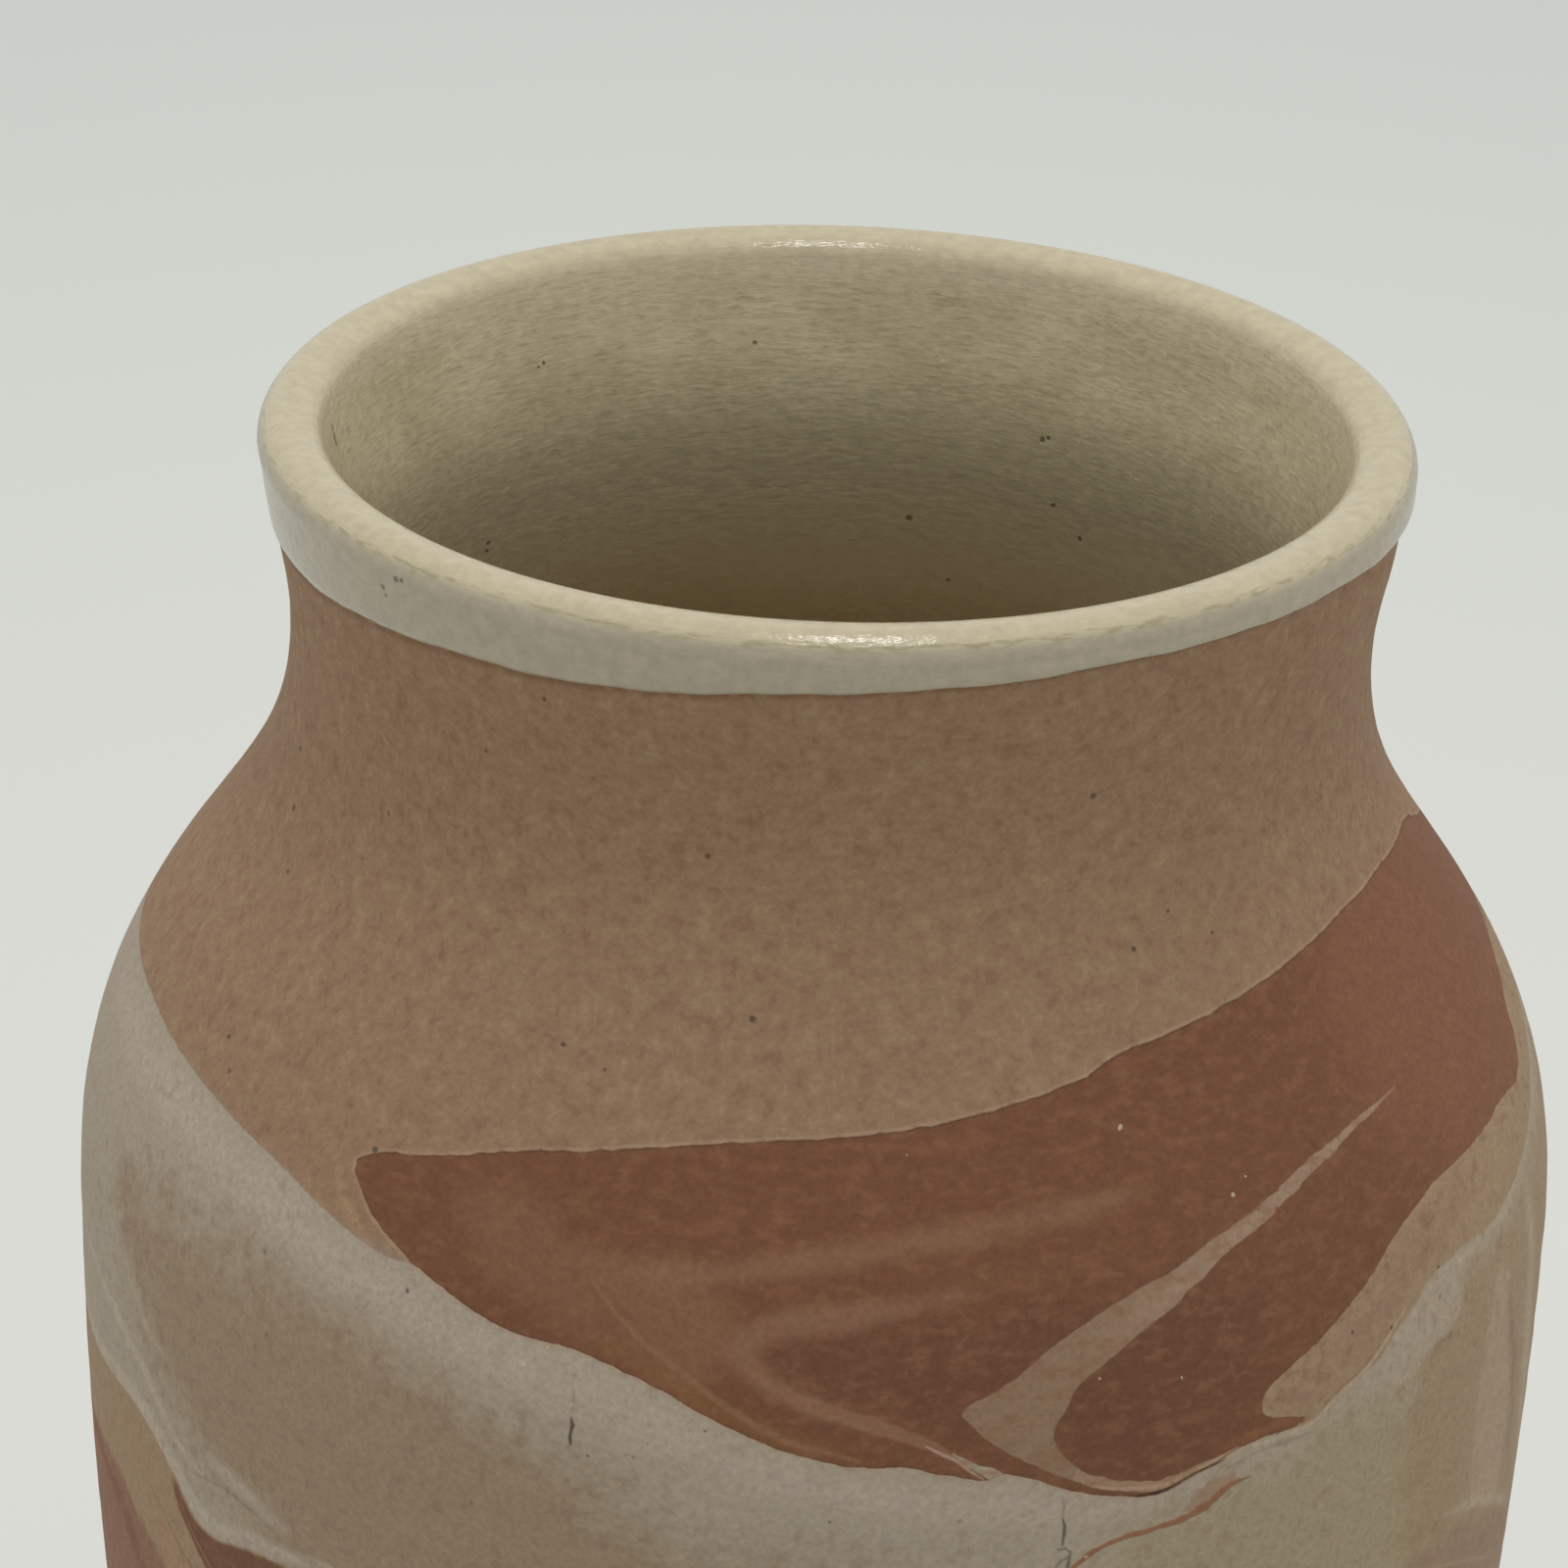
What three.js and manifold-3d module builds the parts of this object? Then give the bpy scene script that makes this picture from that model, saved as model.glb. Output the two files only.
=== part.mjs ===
// A wheel-thrown vase of marbled clay, 166 mm tall, in millimetres with +Z up.
// The origin is the centre of the base, and -Y is the front.
// The buff wall carries the other clays as swirls let into its outside. A glaze lines the inside, goes
// over the lip and ends outside in a slanting line.

import * as THREE from "three";
import { mergeVertices } from "three/addons/utils/BufferGeometryUtils.js";
import Module from "manifold-3d";

// The outside: its circles, each with its drop below the crest of the lip
const height = 166;
const lipRadius = 40;
const lipDrop = 1.8;
const neckRadius = 37.8;
const neckDrop = 15.6;
const bellyRadius = 53.2;
const bellyDrop = 58;
const footRadius = 38.5;

// How far the wall keeps its direction on each side of those circles
const lipRun = 8.9;
const neckRise = 4.2;
const neckRun = 17.7;
const shoulderRun = 22.8;
const bellyRun = 29.2;
const footRun = 40;
const lipLean = 11; // degrees off upright, below the lip
const footLean = 17; // degrees off upright, above the foot

// Lip, wall, floor and foot
const lipThickness = 4.2;
const crestInset = 1.8; // from the lip's widest circle in to its crest
const wallThickness = 5;
const floorThickness = 7;
const floorRound = 14; // the inner corner between floor and wall
const footRingWidth = 6;
const footRecess = 2; // the base is turned out this deep inside its ring
const footBevel = 1.2;

// Glaze and swirls
const glazeThickness = 0.5;
const glazeEdgeDrop = 4.7; // the glaze's outer edge, at the front and the back
const glazeEdgeSlant = 1.9; // that edge lies this much lower on the left and higher on the right
const swirlDepth = 2.2;
const gap = 0.3; // between two clays, and between clay and glaze

// How finely the round shapes are cut
const turns = 40;
const steps = { lip: 3, neck: 3, shoulder: 7, belly: 5, floor: 3, inside: 3 };
const degreesPerColumn = 7.5;

// The clays let into the wall, from the undermost to the topmost, which cuts the ones before it.
// Each lies between two edges through points of [degrees from the front towards the right, drop].
const swirls = [
  {
    name: "grey_swirl",
    color: 0x968b7c,
    upper: [[-172, 55], [-150, 47.5], [-120, 42], [-88, 40], [-60, 40.3], [-38, 43], [-18, 45], [5, 50], [26, 52],
      [41, 53.6]],
    lower: [[-172, 56.5], [-150, 60], [-120, 67], [-88, 72], [-58, 73], [-40, 73], [-18, 68], [5, 65], [22, 63.5],
      [41, 57.5]],
  },
  {
    name: "taupe_band",
    color: 0x7f6b58,
    upper: [[-36, 73], [-18, 64.8], [0, 61.8], [18, 62.5], [45, 74], [78, 90]],
    lower: [[-36, 75.5], [-18, 85], [0, 95.5], [18, 102], [48, 103], [78, 92]],
  },
  {
    name: "olive_streak",
    color: 0x8f856f,
    upper: [[17, 64], [28, 60.4], [36, 57.2], [50, 51.4], [70, 46.8], [95, 44.6], [124, 50]],
    lower: [[17, 66.5], [34, 76], [55, 77.5], [75, 72], [98, 62], [124, 51.5]],
  },
  {
    name: "grey_back_swirl",
    color: 0x93897b,
    upper: [[104, 84], [140, 72], [180, 70], [215, 80], [242, 96]],
    lower: [[104, 86], [140, 92], [180, 97], [215, 101], [242, 98]],
  },
  {
    name: "terracotta_drift",
    color: 0x7a5545,
    upper: [[-136, 83], [-118, 75.5], [-100, 71], [-80, 67.9], [-62, 67], [-50, 71], [-38, 70.6], [-15, 81], [15, 96],
      [48, 110]],
    lower: [[-136, 85], [-118, 90], [-100, 93], [-82, 92], [-66, 87], [-50, 82], [-34, 84], [-10, 96], [15, 106],
      [48, 111.5]],
  },
  {
    name: "terracotta_swirl",
    color: 0x684636,
    upper: [[-38.5, 38.9], [-22, 35.8], [0, 33.4], [20, 31.5], [40, 29], [68, 27.1], [92, 30.2], [120, 36], [150, 44]],
    lower: [[-35, 41.4], [-20, 46.4], [-6, 50], [8, 53], [25, 56.4], [39, 52], [54, 44], [76, 43], [94, 38.8],
      [120, 40.5], [150, 45.5]],
  },
  {
    name: "terracotta_sliver",
    color: 0x75503f,
    upper: [[20, 60.2], [27, 59], [34, 57]],
    lower: [[20.5, 62.4], [28, 61.2], [35, 58.2]],
  },
  {
    name: "pale_vein",
    color: 0x7b6553,
    upper: [[11.5, 48.9], [20, 45.1], [33, 41], [45, 38.4], [55, 37.2]],
    lower: [[14, 51.6], [19, 52.4], [22, 48.2], [33, 43.2], [45, 39.8], [55, 38.2]],
  },
];

const radians = (angle) => (angle * Math.PI) / 180;
const point = (radius, z) => new THREE.Vector2(radius, z);

// A point that lies a run away from another, at an angle off upright
function leaning(from, run, angle, upwards) {
  return point(from.x + run * Math.sin(radians(angle)), from.y + upwards * run * Math.cos(radians(angle)));
}

function bend(start, startHandle, endHandle, end, count) {
  return new THREE.CubicBezierCurve(start, startHandle, endHandle, end).getPoints(count);
}

// Moves a line to its right. Lines here run up the inside, over the lip and down the outside, so
// that is into the clay.
function inset(line, amount) {
  return line.map(({ x, y }, i) => {
    const before = line[Math.max(i - 1, 0)];
    const after = line[Math.min(i + 1, line.length - 1)];
    const along = point(after.x - before.x, after.y - before.y).normalize();
    return point(x === 0 ? 0 : x + along.y * amount, y - (x === 0 ? 1 : along.x) * amount);
  });
}

// The outside, from the lip's widest circle down to the bevel of the foot
const lipEnd = point(lipRadius, height - lipDrop);
const neckEnd = point(neckRadius, height - neckDrop);
const bellyEnd = point(bellyRadius, height - bellyDrop);
const footEnd = point(footRadius, footBevel);
const neckLine = bend(
  lipEnd,
  leaning(lipEnd, lipRun, -lipLean, -1),
  point(neckEnd.x, neckEnd.y + neckRise),
  neckEnd,
  steps.neck,
);
const outside = [
  ...neckLine,
  ...bend(
    neckEnd,
    point(neckEnd.x, neckEnd.y - neckRun),
    point(bellyEnd.x, bellyEnd.y + shoulderRun),
    bellyEnd,
    steps.shoulder,
  ).slice(1),
  ...bend(
    bellyEnd,
    point(bellyEnd.x, bellyEnd.y - bellyRun),
    leaning(footEnd, footRun, footLean, 1),
    footEnd,
    steps.belly,
  ).slice(1),
];

// The glazed inside, from the centre of the floor up to the lip
const floorCentre = point(0, footRecess + floorThickness);
const corner = leaning(point(footRadius - wallThickness, floorCentre.y), floorRound, footLean, 1);
const bellyInside = point(bellyRadius - wallThickness, bellyEnd.y);
const neckInside = point(neckRadius - wallThickness, neckEnd.y);
const lipInside = point(lipRadius - lipThickness, height - 2 * lipDrop);
const inside = [
  ...bend(
    floorCentre,
    point(corner.x / 2, floorCentre.y),
    leaning(corner, -floorRound / 2, footLean, 1),
    corner,
    steps.floor,
  ),
  ...bend(
    corner,
    leaning(corner, footRun / 2, footLean, 1),
    point(bellyInside.x, bellyInside.y - bellyRun),
    bellyInside,
    steps.inside,
  ).slice(1),
  ...bend(
    bellyInside,
    point(bellyInside.x, bellyInside.y + shoulderRun),
    point(neckInside.x, neckInside.y - neckRun),
    neckInside,
    steps.inside,
  ).slice(1),
  ...bend(
    neckInside,
    point(neckInside.x, neckInside.y + neckRise),
    point(lipInside.x, lipInside.y - neckRise),
    lipInside,
    steps.neck,
  ).slice(1),
];

// The rounded lip, between the inside and the outside
const crest = point(lipRadius - crestInset, height);
const lip = [
  ...bend(
    lipInside,
    point(lipInside.x, height - lipDrop / 2),
    point(crest.x - crestInset / 2, height),
    crest,
    steps.lip,
  ).slice(1),
  ...bend(
    crest,
    point(crest.x + crestInset / 2, height),
    point(lipEnd.x, lipEnd.y + lipDrop / 2),
    lipEnd,
    steps.lip,
  ).slice(1, -1),
];

const wasm = await Module();
wasm.setup();

// A closed geometry as a solid that can be joined and cut
function solid(geometry) {
  geometry.deleteAttribute("normal");
  geometry.deleteAttribute("uv");
  const merged = mergeVertices(geometry, 1e-4);
  return new wasm.Manifold(
    new wasm.Mesh({
      numProp: 3,
      vertProperties: new Float32Array(merged.attributes.position.array),
      triVerts: new Uint32Array(merged.index.array),
    }),
  );
}

// A profile turned round the vase's axis. It runs the same way as the lines above.
function turned(profile) {
  return solid(new THREE.LatheGeometry([...profile].reverse(), turns).rotateX(Math.PI / 2));
}

// What lies between two insets of the outside, or of its first part. A negative inset stands proud.
function skin(line, from, to) {
  const outer = inset(line, from);
  return turned([...outer, ...inset(line, to).reverse(), outer[0]]);
}

// A half space above a plane that passes the axis at a height and rises towards the right
function above(z) {
  const size = 4 * bellyRadius;
  const box = new THREE.BoxGeometry(size, size, size);
  box.translate(0, 0, size / 2).rotateY(-Math.atan2(glazeEdgeSlant, lipRadius)).translate(0, 0, z);
  return solid(box);
}

// A box bent round the axis between two edges of a swirl, each moved apart by a margin
function strip({ upper, lower }, margin) {
  const edge = (points, side) => {
    const perDegree = radians(bellyRadius); // mm along the belly for each degree
    const curve = new THREE.SplineCurve(points.map(([angle, drop]) => point(angle * perDegree, height - drop)));
    return (share) => {
      const place = curve.getPoint(share);
      const along = curve.getTangent(share);
      place.x -= along.y * side * margin;
      place.y += along.x * side * margin;
      if (share === 0) place.x -= margin;
      if (share === 1) place.x += margin;
      return point(place.x / perDegree, place.y);
    };
  };
  const top = edge(upper, 1);
  const bottom = edge(lower, -1);
  const columns = Math.ceil((upper.at(-1)[0] - upper[0][0]) / degreesPerColumn);
  const box = new THREE.BoxGeometry(1, 1, 1, columns, 1, 1);
  const corners = box.attributes.position;
  for (let i = 0; i < corners.count; i++) {
    const share = corners.getX(i) + 0.5;
    const place = corners.getY(i) > 0 ? top(share) : bottom(share);
    const radius = corners.getZ(i) > 0 ? bellyRadius + wallThickness : neckRadius - wallThickness;
    corners.setXYZ(i, radius * Math.sin(radians(place.x)), -radius * Math.cos(radians(place.x)), place.y);
  }
  return solid(box);
}

function mesh(name, made, color, roughness) {
  const { numProp, vertProperties, triVerts } = made.getMesh();
  const corners = new THREE.InterleavedBuffer(vertProperties, numProp);
  const geometry = new THREE.BufferGeometry();
  geometry.setAttribute("position", new THREE.InterleavedBufferAttribute(corners, 3, 0));
  geometry.setIndex(new THREE.BufferAttribute(triVerts, 1));
  const result = new THREE.Mesh(geometry, new THREE.MeshStandardMaterial({ color, roughness, metalness: 0 }));
  result.name = name;
  return result;
}

const vase = new THREE.Group();
const glazed = [...inside, ...lip, ...neckLine.slice(0, -1)];
const bedDepth = glazeThickness + gap;
const edgeHeight = height - glazeEdgeDrop;

// The buff clay: floor, wall and foot, with a bed for the glaze and a pocket for each swirl
const bed = inset(glazed, bedDepth).slice(0, inside.length + lip.length);
const foot = [
  point(footRadius - footBevel, 0),
  point(footRadius - footBevel - footRingWidth, 0),
  point(footRadius - footBevel - footRingWidth - footRecess, footRecess),
  point(0, footRecess),
];
const pockets = swirls.map((swirl) => strip(swirl, gap));
const lipBand = skin([lip.at(-1), ...neckLine], -wallThickness, bedDepth);
let body = turned([...bed, ...outside, ...foot]).subtract(lipBand.intersect(above(edgeHeight)));
const pocketSkin = skin(outside, -wallThickness, swirlDepth + gap);
for (const pocket of pockets) body = body.subtract(pocketSkin.intersect(pocket));
vase.add(mesh("thrown_body", body, 0x7e6752, 0.85));

// The swirls
const swirlSkin = skin(outside, 0, swirlDepth);
swirls.forEach((swirl, i) => {
  let clay = swirlSkin.intersect(strip(swirl, 0));
  for (const pocket of pockets.slice(i + 1)) clay = clay.subtract(pocket);
  vase.add(mesh(swirl.name, clay, swirl.color, 0.8));
});

// The glaze: a coat from the floor over the lip to its slanting edge
const coat = turned([...glazed, ...inset(glazed, glazeThickness).reverse()]);
const outerLeg = skin([lip.at(-1), ...neckLine], -wallThickness, lipThickness / 2);
const coatEdge = outerLeg.subtract(above(edgeHeight + gap));
vase.add(mesh("glaze_lining", coat.subtract(coatEdge), 0xb3a98b, 0.35));

export default vase;
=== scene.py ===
# A wheel-thrown vase of marbled clay, with a cream glaze inside and over the lip.
# Sizes in the dictionaries are millimetres. Angles are degrees from the front, -Y, towards the right, +X.
# A drop is how far a point lies below the crest of the lip.
import math

import bpy
import numpy as np
from mathutils import Matrix, Vector


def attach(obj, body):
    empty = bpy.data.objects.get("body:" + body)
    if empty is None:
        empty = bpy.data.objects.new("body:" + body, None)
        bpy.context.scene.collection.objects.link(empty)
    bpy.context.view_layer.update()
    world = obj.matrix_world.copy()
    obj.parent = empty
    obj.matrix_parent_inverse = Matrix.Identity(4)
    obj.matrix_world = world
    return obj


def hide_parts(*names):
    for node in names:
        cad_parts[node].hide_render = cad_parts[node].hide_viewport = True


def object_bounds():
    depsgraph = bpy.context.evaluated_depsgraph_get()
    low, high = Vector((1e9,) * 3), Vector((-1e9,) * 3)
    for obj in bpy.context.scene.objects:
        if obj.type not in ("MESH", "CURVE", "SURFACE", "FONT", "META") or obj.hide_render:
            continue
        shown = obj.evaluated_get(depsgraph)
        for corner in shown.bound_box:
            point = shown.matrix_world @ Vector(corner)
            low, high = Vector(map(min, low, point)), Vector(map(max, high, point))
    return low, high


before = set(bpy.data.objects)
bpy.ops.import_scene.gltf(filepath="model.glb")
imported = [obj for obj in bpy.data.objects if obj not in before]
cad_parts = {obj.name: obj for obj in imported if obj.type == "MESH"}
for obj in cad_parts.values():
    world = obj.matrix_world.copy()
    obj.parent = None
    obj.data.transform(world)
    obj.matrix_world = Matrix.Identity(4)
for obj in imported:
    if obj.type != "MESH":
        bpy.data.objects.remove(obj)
cadLow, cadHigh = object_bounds()
print("frame loaded, with", len(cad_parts), "solids")

metre = 0.001  # one millimetre in metres
vaseHeight = cadHigh.z / metre
bellyRadius = cadHigh.x / metre


# Turns a written colour, such as "#b3a98b", into the linear values that a shader takes
def colour(text):
    parts = [int(text[i:i + 2], 16) / 255 for i in (1, 3, 5)]
    linear = [p / 12.92 if p <= 0.04045 else ((p + 0.055) / 1.055) ** 2.4 for p in parts]
    return (*linear, 1.0)


# Adds a node with its settings, and sets or links its inputs, each given by name or number. A node that is
# given as an input is linked from its first output.
def addNode(tree, kind, settings, inputs):
    node = tree.nodes.new(kind)
    for name, value in settings.items():
        setattr(node, name, value)
    for name, value in inputs.items():
        if isinstance(value, bpy.types.Node):
            value = value.outputs[0]
        if isinstance(value, bpy.types.NodeSocket):
            tree.links.new(value, node.inputs[name])
        else:
            node.inputs[name].default_value = value
    return node


smooth = {"interpolation_type": "SMOOTHSTEP"}
mixColours = {"data_type": "RGBA"}


# The profile of the vase, turned on the wheel

wall = {
    "lipRadius": 40, "lipDrop": 1.8, "lipThickness": 5, "crestInset": 1.8,
    "cornerDrop": 0.35, "cornerRound": 1.1,  # the inner corner of the lip
    "neckRadius": 37.8, "neckDrop": 15.6, "bellyDrop": 58, "footRadius": 38.5,
    "lipRun": 8.9, "neckRise": 4.2, "neckRun": 17.7, "shoulderRun": 22.8, "bellyRun": 29.2, "footRun": 40,
    "lipLean": 11, "insideLean": 14, "footLean": 17,  # degrees off upright
    "wallThickness": 5, "floorThickness": 7, "floorRound": 14,
    "footRingWidth": 6, "footRecess": 2, "footBevel": 1.2, "footRound": 0.5,
    "visibleRow": 0.72, "lowRow": 1.7, "hiddenRow": 6,  # spacing of the rows of faces
    "visibleDrop": 104,  # the rows are close together down to here
    "columns": 372, "frontShare": 0.36,  # the columns stand closer at the front by this share
}
glazeCoat = {
    "thickness": 0.5, "bite": 0.05,  # the coat's back lies this deep in the clay
    "rise": 0.2,  # how far the coat's outer edge stands proud of the clay
    "edgeRound": 0.55, "proudFrom": 1.8, "proudAt": 4.2,  # drops between which the coat comes to stand proud
    "thinsTo": 8.5,  # drop at which the bed of the coat runs out
    "row": 1.25, "lipRow": 0.36, "columns": 280,
}
# The outer edge of the glaze, as [degrees, drop]
glazeEdge = [[-180, 5.4], [-130, 7.2], [-90, 7.8], [-70, 7.4], [-50, 6.6], [-32, 5.9], [-19, 5.4], [-8, 4.7],
             [4, 3.95], [20, 3.5], [33, 3.05], [54, 3], [73, 3.4], [120, 4.2], [180, 5.4]]
glazeRipples = [[11, 0.07, 0], [23, 0.06, 40], [57, 0.03, 10]]  # its small ripples: how many, depth and start
thrown = {
    "wobble": 0.05, "wobbleRise": 22.0,  # its depth, and how many bumps there are to a metre of height
    "ringDepth": 0.035, "ringSpacing": 2.6, "ringDrift": 0.35, "seed": 4.0,
}


# Points about one spacing apart on a bend with two handles
def bend(start, startHandle, endHandle, end, spacing):
    share = np.linspace(0, 1, 300)[:, None]
    rest = 1 - share
    fine = (rest ** 3 * np.array(start) + 3 * rest ** 2 * share * np.array(startHandle)
            + 3 * rest * share ** 2 * np.array(endHandle) + share ** 3 * np.array(end))
    length = np.append(0, np.cumsum(np.hypot(*np.diff(fine, axis=0).T)))
    at = np.linspace(0, length[-1], max(3, round(length[-1] / spacing) + 1))
    return np.column_stack([np.interp(at, length, fine[:, i]) for i in (0, 1)])


# A point that lies a run away from another, at an angle off upright
def leaning(start, run, angle):
    return [start[0] + run * math.sin(math.radians(angle)), start[1] + run * math.cos(math.radians(angle))]


# A line through corners that are each rounded off
def roundedLine(corners, radius, spacing):
    corners = np.array(corners, float)
    line = [corners[:1]]
    for before, corner, after in zip(corners, corners[1:], corners[2:]):
        start = corner + (before - corner) * radius / np.hypot(*(before - corner))
        end = corner + (after - corner) * radius / np.hypot(*(after - corner))
        line.append(bend(start, (start + corner * 2) / 3, (end + corner * 2) / 3, end, spacing))
    line.append(corners[-1:])
    return np.vstack(line)


# Moves a line that runs up the inside and down the outside into the clay
def inset(line, amount):
    along = np.gradient(line, axis=0)
    along /= np.hypot(*along.T)[:, None]
    return line + np.column_stack([along[:, 1], -along[:, 0]]) * np.reshape(amount, (-1, 1))


def smoothStep(low, high, value):
    share = np.clip((value - low) / (high - low), 0, 1)
    return share * share * (3 - 2 * share)


lipEnd = [wall["lipRadius"], vaseHeight - wall["lipDrop"]]
neckEnd = [wall["neckRadius"], vaseHeight - wall["neckDrop"]]
bellyEnd = [bellyRadius, vaseHeight - wall["bellyDrop"]]
footEnd = [wall["footRadius"], wall["footBevel"]]
outside = np.vstack([
    bend(lipEnd, leaning(lipEnd, -wall["lipRun"], wall["lipLean"]),
         [neckEnd[0], neckEnd[1] + wall["neckRise"]], neckEnd, wall["visibleRow"]),
    bend(neckEnd, [neckEnd[0], neckEnd[1] - wall["neckRun"]],
         [bellyEnd[0], bellyEnd[1] + wall["shoulderRun"]], bellyEnd, wall["visibleRow"])[1:],
    bend(bellyEnd, [bellyEnd[0], bellyEnd[1] - wall["bellyRun"]],
         leaning(footEnd, wall["footRun"], wall["footLean"]), footEnd, wall["visibleRow"])[1:],
])


def outsideRadius(drop):
    return np.interp(drop, vaseHeight - outside[:, 1], outside[:, 0])


def outsideLength(drop):
    run = np.append(0, np.cumsum(np.hypot(*np.diff(outside, axis=0).T)))
    return np.interp(drop, vaseHeight - outside[:, 1], run)


# Rows that follow the outside closely where it shows and more widely below
showing = outside[vaseHeight - outside[:, 1] < wall["visibleDrop"]]
lowRun = outside[len(showing):]
lowOutside = lowRun[::round(wall["lowRow"] / wall["visibleRow"])]

floorCentre = [0, wall["footRecess"] + wall["floorThickness"]]
floorEdge = [wall["footRadius"] - wall["wallThickness"], floorCentre[1]]
corner = leaning(floorEdge, wall["floorRound"], wall["footLean"])
bellyInside = [bellyRadius - wall["wallThickness"], bellyEnd[1]]
neckInside = [wall["neckRadius"] - wall["wallThickness"], neckEnd[1]]
lipInside = [wall["lipRadius"] - wall["lipThickness"], vaseHeight - 2 * wall["lipDrop"]]
crest = [wall["lipRadius"] - wall["crestInset"], vaseHeight]


def insideLine(spacing):
    return np.vstack([
        bend(floorCentre, [corner[0] / 2, floorCentre[1]],
             leaning(corner, -wall["floorRound"] / 2, wall["footLean"]), corner, spacing),
        bend(corner, leaning(corner, wall["footRun"] / 2, wall["footLean"]),
             [bellyInside[0], bellyInside[1] - wall["bellyRun"]], bellyInside, spacing)[1:],
        bend(bellyInside, [bellyInside[0], bellyInside[1] + wall["shoulderRun"]],
             [neckInside[0], neckInside[1] - wall["neckRun"]], neckInside, spacing)[1:],
        bend(neckInside, [neckInside[0], neckInside[1] + wall["neckRise"]],
             leaning(lipInside, -wall["neckRise"], wall["insideLean"]), lipInside, spacing)[1:],
    ])


def lipLine(spacing):
    half = wall["lipDrop"] / 2
    innerCorner = leaning(lipInside, 2 * wall["lipDrop"] - wall["cornerDrop"], wall["insideLean"])
    return np.vstack([
        roundedLine([lipInside, innerCorner, crest], wall["cornerRound"], spacing)[1:],
        bend(crest, [crest[0] + wall["crestInset"] / 2, vaseHeight], [lipEnd[0], lipEnd[1] + half], lipEnd,
             spacing)[1:-1],
    ])


bedDepth = glazeCoat["thickness"] - glazeCoat["bite"]


# How deep the clay lies under the vase's own outline, from the lip's widest circle down
def bedAt(drop):
    return bedDepth * (1 - smoothStep(wall["lipDrop"], glazeCoat["thinsTo"], drop))


hiddenInside = insideLine(wall["hiddenRow"])
hiddenLip = lipLine(glazeCoat["lipRow"] * 3)
clayLine = np.vstack([hiddenInside, hiddenLip, showing, lowOutside])
clayDrop = vaseHeight - clayLine[:, 1]
isOutside = np.arange(len(clayLine)) >= len(hiddenInside) + len(hiddenLip)
clayLine = inset(clayLine, np.where(isOutside, bedAt(clayDrop), bedDepth))
clayLine[0, 0] = 0
ringInner = wall["footRadius"] - wall["footBevel"] - wall["footRingWidth"]
footLine = roundedLine(
    [footEnd, [wall["footRadius"] - wall["footBevel"], 0], [ringInner, 0],
     [ringInner - wall["footRecess"], wall["footRecess"]], [0, wall["footRecess"]]],
    wall["footRound"], wall["footRound"] / 2,
)
clayLine = np.vstack([clayLine, footLine])

# The coat runs to the nominal edge here, and to its slanting edge once it is turned
nominalEdge = 4.7
edgeRows = np.linspace(wall["lipDrop"], nominalEdge, 15)
legLength = outsideLength(nominalEdge) - outsideLength(edgeRows)
roundShare = np.clip(legLength / glazeCoat["edgeRound"], 0, 1)
fullness = np.sqrt(1 - (1 - roundShare) ** 2)
leg = np.column_stack([outsideRadius(edgeRows), vaseHeight - edgeRows])
proud = glazeCoat["rise"] * smoothStep(glazeCoat["proudFrom"], glazeCoat["proudAt"], edgeRows)
legFace = inset(leg, bedAt(edgeRows) - fullness * (bedAt(edgeRows) + proud))
legBack = inset(leg, bedAt(edgeRows) + glazeCoat["bite"])
face = np.vstack([insideLine(glazeCoat["row"]), lipLine(glazeCoat["lipRow"])])
back = inset(np.vstack([hiddenInside, hiddenLip]), glazeCoat["thickness"])
back[0, 0] = 0
glazeLine = np.vstack([face, legFace, legBack[::-1], back[::-1]])


def makeProfile(name, line):
    curve = bpy.data.curves.new(name, "CURVE")
    curve.dimensions = "3D"
    spline = curve.splines.new("POLY")
    spline.points.add(len(line) - 1)
    for place, (radius, height) in zip(spline.points, line):
        place.co = (radius * metre, 0, height * metre, 1)
    result = bpy.data.objects.new(name, curve)
    bpy.context.scene.collection.objects.link(result)
    return result


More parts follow.
